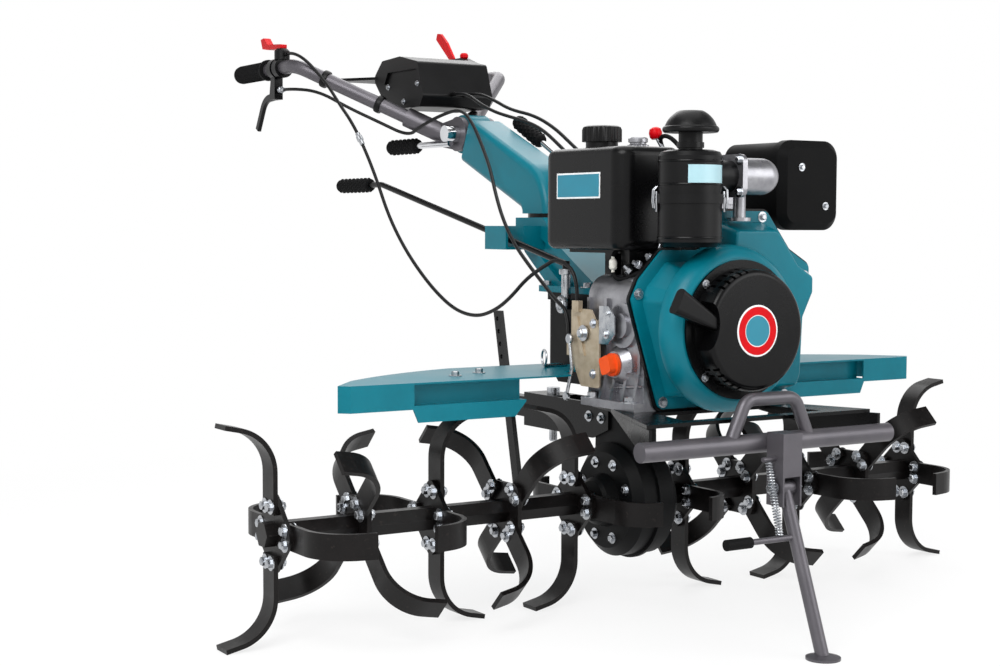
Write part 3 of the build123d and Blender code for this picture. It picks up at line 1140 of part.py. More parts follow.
def speed_cable():
    """From the thumb lever along the right tube, then in a free bow down to the control plate."""
    x, z = THUMB_X + THUMB_R + FERRULE_L + GAP, THUMB_CABLE_Z
    tie_x, tie_y, tie_z = along_bar(-1, 0.71)
    e, low = ENGINE_BASE, UPPER_TOP - 48
    plate_y = BLOCK_Y0 - PLATE_OFF - 1.5 * PLATE_T
    return cable([
        (x, -GRIP_Y, z), (x + 50, -GRIP_Y, z), (tie_x, tie_y - 34, tie_z + 10), (tie_x + 60, -222, tie_z - 44),
        (EYE_X - 130, -216, EYE_Z + 22), (EYE_X - 84, -208, EYE_Z - 40), (EYE_X - 38, -206, EYE_Z - 102),
        (EYE_X + 8, -207, EYE_Z - 166), (EYE_X + 58, -205, EYE_Z - 221), (EYE_X + 111, -200, EYE_Z - 270),
        (UPPER_X0 - 206, -195, low + 46), (UPPER_X0 - 133, -190, low + 10), (UPPER_X0 - 62, -184, low),
        (UPPER_X0 - 5, -178, low + 15), (UPPER_X0 + 43, -175, low + 40), (UPPER_X0 + 92, -170, low + 78),
        (BLOCK_X0 - 88, -165, e + 242), (BLOCK_X0 - 55, -159, e + 256), (PLATE_X0 + 20, plate_y, e + 230),
        (PLATE_X0 + 20, plate_y, PLATE_Z0 + PLATE_H + LUG_RISE + GAP),
    ])


def clutch_cable():
    """From the clutch lever under the right tube and past the hub, then straight down to the engine's side."""
    x = PERCH_X + PERCH_W / 2 + FERRULE_L + GAP
    z = GRIP_Z - BAR_R - 3 - PERCH_DROP * 0.6
    sags = ((0.86, 34), (0.66, 40), (0.46, 40), (0.26, 41))
    below = [(a, b + 4, c - sag) for (a, b, c), sag in ((along_bar(-1, s), sag) for s, sag in sags)]
    plate_y = BLOCK_Y0 - PLATE_OFF - PLATE_T / 2
    return cable([
        (x, -GRIP_Y, z), (x + 46, -GRIP_Y, z), *below, (EYE_X - 72, -86, EYE_Z + 18),
        (EYE_X - 5, -68, EYE_Z + 41), (EYE_X + 58, -62, EYE_Z + 48), (EYE_X + 105, -64, EYE_Z + 18), (EYE_X + 150, -70, EYE_Z - 26),
        (EYE_X + 211, -86, EYE_Z - 78), (COLUMN_X - 24, -112, SEAT_TOP + 46), (COLUMN_X + 40, -134, SEAT_TOP - 6),
        (COLUMN_X + 98, -143, SEAT_TOP - 54), (UPPER_X0 + 66, -145, UPPER_TOP + 48),
        (UPPER_X0 + 112, -144, UPPER_TOP + 16), (UPPER_X0 + 150, -146, UPPER_TOP - 8), (PLATE_X0 - 10, plate_y, PLATE_Z0 + 128),
        (PLATE_X0 - 10, plate_y, PLATE_Z0 + 76 + GAP),
    ])


def shift_cable_left():
    """Left one of two cables from the console over the arm to the gearbox."""
    top = UPPER_TOP + FERRULE_L + GAP
    return cable([
        (CONSOLE_FRONT + FERRULE_L + GAP, SHIFT_CABLE_Y, CONSOLE_CABLE_Z),
        (EYE_X, SHIFT_CABLE_Y, CONSOLE_CABLE_Z), (EYE_X + 65, 12, EYE_Z + 69), (EYE_X + 131, 11, EYE_Z + 45), (EYE_X + 210, 17, EYE_Z + 30),
        (COLUMN_X - 27, 26, SEAT_TOP + 178), (COLUMN_X + 23, 34, SEAT_TOP + 143),
        (COLUMN_X + 77, 42, SEAT_TOP + 106), (UPPER_X0 + 52, 50, UPPER_TOP + 200),
        (UPPER_X0 + 108, 56, UPPER_TOP + 142), (UPPER_X0 + 150, 59, UPPER_TOP + 84),
        (SEAT_CABLE_X, SEAT_CABLE_Y + 22, UPPER_TOP + 52), (SEAT_CABLE_X, SEAT_CABLE_Y + 22, top),
    ])


def shift_cable_right():
    """Right one of the two cables from the console over the arm to the gearbox."""
    top = UPPER_TOP + FERRULE_L + GAP
    return cable([
        (CONSOLE_FRONT + FERRULE_L + GAP, -SHIFT_CABLE_Y, CONSOLE_CABLE_Z),
        (EYE_X - 4, -SHIFT_CABLE_Y, CONSOLE_CABLE_Z), (EYE_X + 60, -19, EYE_Z + 60), (EYE_X + 110, -14, EYE_Z + 41), (EYE_X + 150, -5, EYE_Z + 30),
        (EYE_X + 206, 3, EYE_Z + 17), (COLUMN_X - 42, 9, SEAT_TOP + 174), (COLUMN_X + 16, 16, SEAT_TOP + 136),
        (COLUMN_X + 76, 23, SEAT_TOP + 92), (UPPER_X0 + 45, 30, UPPER_TOP + 182),
        (UPPER_X0 + 96, 34, UPPER_TOP + 130),
        (UPPER_X0 + 143, 37, UPPER_TOP + 84), (SEAT_CABLE_X, SEAT_CABLE_Y, UPPER_TOP + 52),
        (SEAT_CABLE_X, SEAT_CABLE_Y, top),
    ])


PIECES = {
    "gearbox_lower_case": gearbox_lower_case, "gearbox_upper_case": gearbox_upper_case,
    "engine_bed": engine_bed, "bumper_bar": bumper_bar, "stand_bracket": stand_bracket,
    "crankcase": crankcase, "oil_cap": oil_cap, "cylinder": cylinder, "rocker_cover": rocker_cover,
    "shroud_backplate": shroud_backplate, "cooling_shroud": cooling_shroud,
    "recoil_starter": recoil_starter, "recoil_handle": recoil_handle,
    "fuel_tank": fuel_tank, "tank_bracket": tank_bracket, "fuel_cap": fuel_cap,
    "air_cleaner": air_cleaner, "air_cleaner_cap": air_cleaner_cap, "intake_elbow": intake_elbow,
    "muffler": muffler, "muffler_cap": muffler_cap, "control_plate": control_plate,
    "injection_pump": injection_pump, "fender_right": fender_right,
    "hitch": hitch, "hitch_pin": hitch_pin, "depth_stake": depth_stake,
    "handle_base": handle_base, "swivel_disc": swivel_disc, "handle_arm": handle_arm,
    "clamp_lever": clamp_lever, "clamp_grip": clamp_grip,
    "shift_rod": shift_rod, "shift_grip": shift_grip, "gear_lever": gear_lever, "gear_grip": gear_grip,
    "handlebar": handlebar, "grip_right": grip_right, "console_box": console_box,
    "clutch_lever": clutch_lever, "thumb_lever": thumb_lever, "speed_lever": speed_lever,
    "lever_housing": lever_housing, "red_lever": red_lever,
    "reel_right": reel_right, "output_shaft": output_shaft,
    "stand_leg": stand_leg, "stand_peg": stand_peg, "stand_spring": stand_spring,
    "speed_cable": speed_cable, "clutch_cable": clutch_cable,
    "shift_cable_left": shift_cable_left, "shift_cable_right": shift_cable_right,
}

OTHER_SIDE = {"fender_left": "fender_right", "grip_left": "grip_right", "reel_left": "reel_right"}


def main():
    """Build every piece, set the machine over the middle of its footprint and write the files."""
    shapes = {name: make() for name, make in PIECES.items()}
    for name, source in OTHER_SIDE.items():
        shapes[name] = mirrored(shapes[source])
    shift = -(GRIP_END_X + FOOT_X + FOOT_R) / 2
    print("shift along X", round(shift, 4))
    os.makedirs("parts", exist_ok=True)
    for name, shape in shapes.items():
        export_step(Pos(shift, 0, 0) * shape, os.path.join("parts", name + ".step"))


main()
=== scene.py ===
"""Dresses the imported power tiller: finishes, fasteners, cables and trim, in a plain studio."""

import json
import logging
import math
from collections.abc import Sequence
from dataclasses import dataclass, field
from enum import Enum

import bmesh
import bpy
from mathutils import Matrix, Vector


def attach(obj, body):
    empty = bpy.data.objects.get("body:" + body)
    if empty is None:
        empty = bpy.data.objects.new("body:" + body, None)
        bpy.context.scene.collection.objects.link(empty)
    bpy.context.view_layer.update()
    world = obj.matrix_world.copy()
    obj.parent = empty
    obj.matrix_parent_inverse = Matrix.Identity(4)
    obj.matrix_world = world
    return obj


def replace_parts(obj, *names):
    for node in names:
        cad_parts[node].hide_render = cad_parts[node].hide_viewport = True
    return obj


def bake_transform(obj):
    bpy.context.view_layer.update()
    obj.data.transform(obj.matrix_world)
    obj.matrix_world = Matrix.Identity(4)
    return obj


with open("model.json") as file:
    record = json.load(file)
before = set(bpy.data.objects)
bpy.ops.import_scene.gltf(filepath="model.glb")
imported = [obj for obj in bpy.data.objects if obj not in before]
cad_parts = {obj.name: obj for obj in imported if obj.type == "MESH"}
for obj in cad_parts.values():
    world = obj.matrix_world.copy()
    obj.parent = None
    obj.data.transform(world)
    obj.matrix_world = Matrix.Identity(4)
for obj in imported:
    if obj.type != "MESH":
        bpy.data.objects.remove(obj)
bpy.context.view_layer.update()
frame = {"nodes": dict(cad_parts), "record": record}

LOG = logging.getLogger("tiller")
AXLE_X_MM = 302.85
Point = tuple[float, float, float]
Pair = tuple[float, float]
FORWARD, LEFT, RIGHT, UP = (1, 0, 0), (0, 1, 0), (0, -1, 0), (0, 0, 1)
SHARP_DEG = 35
SPECK_MM = 6.25
WELD_M = 1e-6
FLUTED_SHARE = 0.95


def spot(x: float, y: float, z: float) -> Vector:
    """Place in the part's own frame.

    Args:
        x: Millimetres ahead of the axle.
        y: Millimetres to the machine's left.
        z: Millimetres over the floor.

    Returns:
        The same place in metres.
    """
    return Vector((x + AXLE_X_MM, y, z)) / 1000


def linear(colour: str) -> tuple[float, float, float, float]:
    """Linear RGBA of an sRGB hex colour.

    Args:
        colour: Six hex digits with a leading hash sign.

    Returns:
        Red, green, blue and an alpha of one.
    """
    parts = [int(colour[i:i + 2], 16) / 255 for i in (1, 3, 5)]
    red, green, blue = [p / 12.92 if p <= 0.04045 else ((p + 0.055) / 1.055) ** 2.4 for p in parts]
    return red, green, blue, 1.0


def add(tree: bpy.types.NodeTree, kind: str, links: dict | None = None, values: dict | None = None,
        **settings: object) -> bpy.types.Node:
    """Add a node with its settings and links.

    Args:
        tree: Tree that gets the node.
        kind: Blender's name of the node type.
        links: Input socket to (node, output socket) pairs.
        values: Input socket to fixed value.
        settings: Properties of the node.

    Returns:
        The new node.
    """
    made = tree.nodes.new(kind)
    for key, value in settings.items():
        setattr(made, key, value)
    for socket, value in (values or {}).items():
        made.inputs[socket].default_value = value
    for socket, (source, output) in (links or {}).items():
        tree.links.new(source.outputs[output], made.inputs[socket])
    return made


@dataclass(frozen=True)
class Finish:
    """A surface as it was made: colours, gloss, grain and wear."""

    name: str
    slot: str
    light: str
    dark: str
    metallic: float = 0.0
    roughness: float = 0.4
    spread: float = 0.06
    patch_mm: float = 90.0
    grain_mm: float = 1.5
    depth_mm: float = 0.03
    specular: float = 0.5
    wear: str = ""
    wear_mm: float = 2.0

    def material(self) -> bpy.types.Material:
        """Material of this finish, made once.

        Returns:
            The material with its node tree.
        """
        found = bpy.data.materials.get(self.name)
        if found:
            return found
        made = bpy.data.materials.new(self.name)
        made.use_nodes = True
        tree = made.node_tree
        shader = tree.nodes["Principled BSDF"]
        place = add(tree, "ShaderNodeTexCoord")
        patch = add(tree, "ShaderNodeTexNoise", {"Vector": (place, "Object")},
                    {"Scale": 1000 / self.patch_mm, "Detail": 5.0, "Roughness": 0.62})
        tone = add(tree, "ShaderNodeValToRGB", {"Fac": (patch, 0)})
        tone.color_ramp.elements[0].position = 0.32
        tone.color_ramp.elements[0].color = linear(self.dark)
        tone.color_ramp.elements[1].position = 0.68
        tone.color_ramp.elements[1].color = linear(self.light)
        colour = (tone, "Color")
        if self.wear:
            colour = self.worn(tree, place, tone, shader)
        tree.links.new(colour[0].outputs[colour[1]], shader.inputs["Base Color"])
        gloss = add(tree, "ShaderNodeMapRange", {"Value": (patch, 0)},
                    {"From Min": 0.3, "From Max": 0.7, "To Min": self.roughness - self.spread,
                     "To Max": self.roughness + self.spread})
        tree.links.new(gloss.outputs[0], shader.inputs["Roughness"])
        grain = add(tree, "ShaderNodeTexNoise", {"Vector": (place, "Object")},
                    {"Scale": 1000 / self.grain_mm, "Detail": 3.0, "Roughness": 0.55})
        bump = add(tree, "ShaderNodeBump", {"Height": (grain, 0)},
                   {"Strength": 0.6, "Distance": self.depth_mm / 1000})
        tree.links.new(bump.outputs[0], shader.inputs["Normal"])
        if not self.wear:
            shader.inputs["Metallic"].default_value = self.metallic
        shader.inputs["Specular IOR Level"].default_value = self.specular
        return made

    def worn(self, tree: bpy.types.NodeTree, place: bpy.types.Node, tone: bpy.types.Node,
             shader: bpy.types.Node) -> tuple[bpy.types.Node, str]:
        """Bare metal along the edges, broken up by noise.

        Args:
            tree: The material's tree.
            place: Texture coordinates.
            tone: Ramp with the paint's colour.
            shader: The surface shader, which gets the metal's share.

        Returns:
            Node and output that carry the worn colour.
        """
        soft = add(tree, "ShaderNodeBevel", None, {"Radius": self.wear_mm / 1000}, samples=4)
        flat = add(tree, "ShaderNodeNewGeometry")
        same = add(tree, "ShaderNodeVectorMath", {0: (soft, 0), 1: (flat, "Normal")},
                   operation="DOT_PRODUCT")
        speck = add(tree, "ShaderNodeTexNoise", {"Vector": (place, "Object")},
                    {"Scale": 1000 / SPECK_MM, "Detail": 6.0})
        both = add(tree, "ShaderNodeMath", {0: (same, "Value"), 1: (speck, 0)}, operation="ADD")
        mask = add(tree, "ShaderNodeMapRange", {"Value": (both, 0)},
                   {"From Min": 1.2, "From Max": 1.38, "To Min": 1.0, "To Max": 0.0})
        mixed = add(tree, "ShaderNodeMixRGB", {"Fac": (mask, 0), "Color1": (tone, "Color")},
                    {"Color2": linear(self.wear)})
        tree.links.new(mask.outputs[0], shader.inputs["Metallic"])
        return mixed, "Color"


# Baked gloss enamel: even colour, faint orange peel, broad highlights
TEAL = Finish("teal_gloss_enamel", "teal", "#006f7f", "#006372", roughness=0.32, spread=0.04, patch_mm=160,
              grain_mm=2.4, depth_mm=0.02, specular=0.22)
# Metallic lacquer on steel tube: fine flake, soft wide highlights
GREY = Finish("grey_metallic_lacquer", "grey_paint", "#625f64", "#555358", metallic=0.6, roughness=0.40,
              spread=0.05, grain_mm=0.9, depth_mm=0.01)
# Satin enamel on pressed sheet: smooth, broad soft reflections
BLACK = Finish("black_satin_enamel", "black_paint", "#09090a", "#060607", roughness=0.27, spread=0.04,
               grain_mm=1.6, depth_mm=0.02, specular=0.18)
# Heat-resistant paint on the muffler: dead matt, close to soot
HEATPROOF = Finish("black_heat_resistant_paint", "black_paint", "#09090a", "#060606", roughness=0.55,
                   spread=0.06, grain_mm=1.2, depth_mm=0.04, specular=0.08)
# Paint over sand casting: coarse grain shows through
IRON = Finish("painted_cast_iron", "dark_iron", "#0f1011", "#0a0a0b", roughness=0.50, spread=0.08,
              grain_mm=2.0, depth_mm=0.18, specular=0.12)
# Die-cast aluminium: pale grey metal with a fine dull skin
CAST = Finish("die_cast_aluminium", "die_cast", "#a9a9ad", "#85858a", metallic=0.9, roughness=0.34,
              spread=0.08, patch_mm=30, grain_mm=1.4, depth_mm=0.10)
# Moulded ABS: fine spark-eroded texture
ABS = Finish("moulded_black_abs", "black_plastic", "#0c0c0d", "#080809", roughness=0.38, spread=0.05,
             grain_mm=0.9, depth_mm=0.03, specular=0.18)
# Nitrile rubber: dull, slightly dusty
RUBBER = Finish("nitrile_rubber", "rubber", "#101011", "#0a0a0b", roughness=0.68, grain_mm=1.0, depth_mm=0.05,
                specular=0.12)
# Bright zinc on steel: cool metal with light clouding
ZINC = Finish("bright_zinc_steel", "zinc", "#c2c4c7", "#989ca2", metallic=1.0, roughness=0.28, patch_mm=12,
              grain_mm=0.8, depth_mm=0.02)
# Polished chrome plate
CHROME = Finish("polished_chrome", "chrome", "#dcdde0", "#c6c8cc", metallic=1.0, roughness=0.10, spread=0.03,
                grain_mm=3.0, depth_mm=0.005)
# Moulded polypropylene in signal colours
ORANGE = Finish("orange_polypropylene", "orange_plastic", "#ee5a22", "#e04c18", roughness=0.44, specular=0.2)
RED = Finish("red_abs", "red_plastic", "#cf0512", "#b8030e", roughness=0.40, specular=0.12)
# Natural polyethylene: milky and slightly waxy
MILKY = Finish("natural_polyethylene", "die_cast", "#e9e7df", "#d8d6cc", roughness=0.45)
# Plain vinyl film of a sign: flat and faintly glossy
WHITE_FILM = Finish("white_vinyl_film", "die_cast", "#eceded", "#e2e3e4", roughness=0.35, depth_mm=0.005)
PALE_FILM = Finish("pale_vinyl_film", "die_cast", "#a9ccd4", "#9dc2cb", roughness=0.35, depth_mm=0.005)
TEAL_FILM = Finish("teal_vinyl_film", "teal", "#0b7c93", "#0a7389", roughness=0.35, depth_mm=0.005)
# Yellow passivated zinc: warm, pale and half dull
PASSIVATED = Finish("yellow_passivated_zinc", "yellow_zinc", "#bcae98", "#a09078", metallic=0.45,
                    roughness=0.36, patch_mm=25)
# Dipped black-brown paint on forged tines, rubbed thin along the edges
TINE = Finish("dipped_tine_paint", "tine_paint", "#120f0f", "#0a0808", roughness=0.36, spread=0.08,
              patch_mm=45, grain_mm=2.2, depth_mm=0.08, specular=0.2, wear="#3c3735", wear_mm=0.8)
# PVC sheath of a control cable
SHEATH = Finish("pvc_cable_sheath", "black_plastic", "#0c0c0d", "#080809", roughness=0.45, grain_mm=1.2,
                specular=0.25)

BY_SLOT = {finish.slot: finish for finish in (
    TEAL, GREY, BLACK, IRON, CAST, ABS, RUBBER, ZINC, CHROME, ORANGE, RED, PASSIVATED, TINE)}


def piece(name: str, mesh: bpy.types.Mesh, finish: Finish, body: str = "") -> bpy.types.Object:
    """Put a finished mesh in the scene, with round forms shaded smooth.

    Args:
        name: Name of the piece.
        mesh: Its mesh, in the part's own frame.
        finish: Its finish.
        body: Body it rides on, or nothing to leave it unattached.

    Returns:
        The new object.
    """
    mesh.materials.clear()
    mesh.materials.append(finish.material())
    made = bpy.data.objects.new(name, mesh)
    bpy.context.scene.collection.objects.link(made)
    mesh.shade_smooth()
    mesh.set_sharp_from_angle(angle=math.radians(SHARP_DEG))
    if body:
        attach(made, body)
    LOG.info("%s: %d faces", name, len(mesh.polygons))
    return made


def frozen(made: bpy.types.Object, name: str) -> bpy.types.Mesh:
    """Plain mesh of an object with its modifiers or bevel applied.

    Args:
        made: A scratch object, which is removed.
        name: Name of the mesh.

    Returns:
        The mesh on its own.
    """
    graph = bpy.context.evaluated_depsgraph_get()
    graph.update()
    mesh = bpy.data.meshes.new_from_object(made.evaluated_get(graph))
    mesh.name = name
    bpy.data.objects.remove(made)
    return mesh


def scratch(data: bpy.types.ID) -> bpy.types.Object:
    """Link a scratch object to the scene.

    Args:
        data: Its mesh or curve.

    Returns:
        The object.
    """
    made = bpy.data.objects.new("scratch", data)
    bpy.context.scene.collection.objects.link(made)
    return made


def line(points: list[Vector], radius: float = 0.0, order: int = 3) -> bpy.types.Curve:
    """Smooth open spline with the points as its control points.

    Args:
        points: Control points in metres.
        radius: Radius of its round section in metres, or 0 for the bare line.
        order: Order of the spline; 2 gives straight runs.

    Returns:
        The curve.
    """
    curve = bpy.data.curves.new("line", "CURVE")
    curve.dimensions = "3D"
    curve.resolution_u = 8
    curve.bevel_depth = radius
    curve.bevel_resolution = 4
    curve.use_fill_caps = True
    spline = curve.splines.new("NURBS")
    spline.points.add(len(points) - 1)
    for knot, place in zip(spline.points, points):
        knot.co = (*place, 1.0)
    spline.order_u = order
    spline.use_endpoint_u = True
    return curve


def meshed(shape: bmesh.types.BMesh, name: str) -> bpy.types.Mesh:
    """Mesh of a finished shape, with its normals outward.

    Args:
        shape: Shape in metres, which is freed.
        name: Name of the mesh.

    Returns:
        The mesh.
    """
    bmesh.ops.remove_doubles(shape, verts=shape.verts, dist=WELD_M)
    bmesh.ops.recalc_face_normals(shape, faces=shape.faces)
    mesh = bpy.data.meshes.new(name)
    shape.to_mesh(mesh)
    shape.free()
    return mesh


def lathe(centre: Point, axis: Point, profile: Sequence[Pair], flutes: int = 0, depth: float = 0.0,
          sides: int = 48) -> bpy.types.Mesh:
    """Form turned about an axis.

    Args:
        centre: Point on the axis, in millimetres in the axle frame.
        axis: Direction of the axis.
        profile: Pairs of radius and distance along the axis in millimetres.
        flutes: Number of hollows round the widest part.
        depth: Depth of the hollows in millimetres.
        sides: Points round the form.

    Returns:
        The mesh.
    """
    out = Vector(axis).normalized()
    one = out.orthogonal().normalized()
    two = out.cross(one)
    widest = max(radius for radius, _ in profile)
    shape = bmesh.new()
    rings = []
    for radius, along in profile:
        cut = depth if flutes and radius > FLUTED_SHARE * widest else 0.0
        ring = []
        for i in range(sides if radius > 0 else 1):
            angle = 2 * math.pi * i / sides
            reach = radius - cut * (0.5 - 0.5 * math.cos(flutes * angle))
            side = one * math.cos(angle) + two * math.sin(angle)
            ring.append(shape.verts.new(spot(*(Vector(centre) + out * along + side * reach))))
        rings.append(ring)
    for a, b in zip(rings, rings[1:]):
        for i in range(sides):
            j = (i + 1) % sides
            corners = list(dict.fromkeys((a[i % len(a)], a[j % len(a)], b[j % len(b)], b[i % len(b)])))
            if len(corners) > 2:
                shape.faces.new(corners)
    return meshed(shape, "turned")


def hoop(centre: Point, axis: Point, radius: float, wire: float) -> bpy.types.Mesh:
    """Round ring of wire.

    Args:
        centre: Middle of the ring.
        axis: Axis of the ring.
        radius: Radius to the middle of the wire in millimetres.
        wire: Radius of the wire in millimetres.

    Returns:
        The mesh.
    """
    turns = [math.radians(36 * i) for i in range(11)]
    return lathe(centre, axis, [(radius + wire * math.cos(t), wire * math.sin(t)) for t in turns])


def slab(outline: Sequence[Point], way: Point, bevel: float = 0.0) -> bpy.types.Mesh:
    """Pair piece of any outline.

    Args:
        outline: Corners of one face in millimetres in the axle frame.
        way: Thickness as a direction in millimetres.
        bevel: Width of the broken edges in millimetres.

    Returns:
        The mesh.
    """
    shape = bmesh.new()
    face = shape.faces.new([shape.verts.new(spot(*p)) for p in outline])
    drawn = bmesh.ops.extrude_face_region(shape, geom=[face])["geom"]
    moved = [v for v in drawn if isinstance(v, bmesh.types.BMVert)]
    bmesh.ops.translate(shape, verts=moved, vec=Vector(way) / 1000)
    bmesh.ops.recalc_face_normals(shape, faces=shape.faces)
    if bevel:
        bmesh.ops.bevel(shape, geom=shape.edges[:], offset=bevel / 1000, segments=2, affect="EDGES",
                        profile=0.5)
    return meshed(shape, "plate")


def tube(points: Sequence[Point], radius: float, order: int = 3) -> bpy.types.Mesh:
    """Round wire or pipe along a route given in millimetres."""
    return frozen(scratch(line([spot(*p) for p in points], radius / 1000, order)), "pipe")


def collar(inner: float, outer: float, height: float, foot: float = 0.0) -> list[Pair]:
    """Profile of a plain collar.

    Args:
        inner: Inner radius in millimetres.
        outer: Outer radius.
        height: Height along the axis.
        foot: Distance of its lower face along the axis.

    Returns:
        The closed profile.
    """
    top = foot + height
    return [(inner, foot), (outer, foot), (outer, top), (inner, top), (inner, foot)]


def button(radius: float, height: float) -> list[Pair]:
    """Profile of a disc with edges broken by a millimetre."""
    return [(0, 0), (radius - 1, 0), (radius, 1), (radius, height - 1), (radius - 1, height), (0, height)]


def joined(meshes: list[bpy.types.Mesh]) -> bpy.types.Mesh:
    """One mesh of several.

    Args:
        meshes: Meshes of the parts, which are removed.

    Returns:
        The mesh.
    """
    shape = bmesh.new()
    for mesh in meshes:
        shape.from_mesh(mesh)
        bpy.data.meshes.remove(mesh)
    return meshed(shape, "joined")


@dataclass
class Cable:
    """A control cable along its route, with its lay and the indices of its held and free points."""

    node: str
    lay: str
    route: list[Point]
    hold: int
    free: int
    radius_mm: float = 3.5

    def build(self) -> None:
        """Make the cable on its route, in place of the imported node, and bake its transform."""
        points = [spot(*p) for p in self.route]
        path = [v.co.copy() for v in frozen(scratch(line(points)), "path").vertices]
        radius = self.radius_mm / 1000
        sheath = piece(self.node + "_sheath", frozen(scratch(line(points, radius)), self.node), SHEATH)
        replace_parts(sheath, self.node)
        self.bend(sheath)

    def bend(self, made: bpy.types.Object) -> None:
        """Bake the transform of the cable, or of a piece on it, into its mesh."""
        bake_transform(made)


CABLES = [
    Cable("speed_cable", "hanging", [
        (-906.7, -262, 1060), (-856.7, -262, 1060), (-796.8, -226.4, 996), (-736.8, -222, 942),
        (-685, -216, 898), (-639, -208, 836), (-593, -206, 774), (-547, -207, 710), (-497, -205, 655),
        (-444, -200, 606), (-376, -195, 558), (-303, -190, 522), (-232, -184, 512), (-175, -178, 527),
        (-127, -175, 552), (-78, -170, 590), (-26, -165, 614), (7, -159, 628), (54, -149.5, 602),
        (54, -149.5, 554.3),
    ], hold=2, free=16),
    Cable("clutch_cable", "taut", [
        (-942.7, -262, 983), (-896.7, -262, 983), (-833.1, -224.4, 975.3), (-784.7, -176.4, 938.3),
        (-736.3, -128.4, 907.3), (-687.9, -80.4, 875.3), (-627, -86, 894), (-560, -68, 917), (-497, -62, 924),
        (-450, -64, 894), (-405, -70, 850), (-344, -86, 798), (-282, -112, 747), (-218, -134, 695),
        (-160, -143, 647), (-104, -145, 608), (-58, -144, 576), (-20, -146, 552), (24, -146.5, 532),
        (24, -146.5, 480.3),
    ], hold=7, free=17),
    Cable("shift_cable_left", "hanging", [
        (-600.7, 15, 963), (-555, 15, 963), (-490, 12, 945), (-424, 11, 921), (-345, 17, 906),
        (-285, 26, 879), (-235, 34, 844), (-181, 42, 807), (-118, 50, 760), (-62, 56, 702),
        (-20, 59, 644), (10, 58, 612), (10, 58, 574.3),
    ], hold=1, free=9),
    Cable("shift_cable_right", "hanging", [
        (-600.7, -15, 963), (-559, -15, 963), (-495, -19, 936), (-445, -14, 917), (-405, -5, 906),
        (-349, 3, 893), (-300, 9, 875), (-242, 16, 837), (-182, 23, 793), (-125, 30, 742), (-74, 34, 690),
        (-27, 37, 644), (10, 36, 612), (10, 36, 574.3),
    ], hold=1, free=10),
]


@dataclass(frozen=True)
class Lamp:
    """A round soft lamp, with its place in millimetres, its width in metres and its power in watts."""

    name: str
    at: Point
    width: float
    power: float

    def hang(self, target: Vector) -> None:
        """Hang the lamp and aim it.

        Args:
            target: Place it shines on, in metres.
        """
        data = bpy.data.lights.new(self.name, "AREA")
        data.shape = "DISK"
        data.size = self.width
        data.energy = self.power
        lamp = bpy.data.objects.new(self.name, data)
        bpy.context.scene.collection.objects.link(lamp)
        lamp.location = spot(*self.at)
        lamp.rotation_mode = "QUATERNION"
        lamp.rotation_quaternion = (target - lamp.location).to_track_quat("-Z", "Y")


LAMPS = (
    Lamp("key", (1500, -2200, 2600), 2.2, 84), Lamp("fill", (2600, 1500, 1700), 2.4, 42),
    Lamp("back", (-1700, 900, 2500), 2.2, 30), Lamp("top", (0, 0, 3000), 2.6, 30),
)


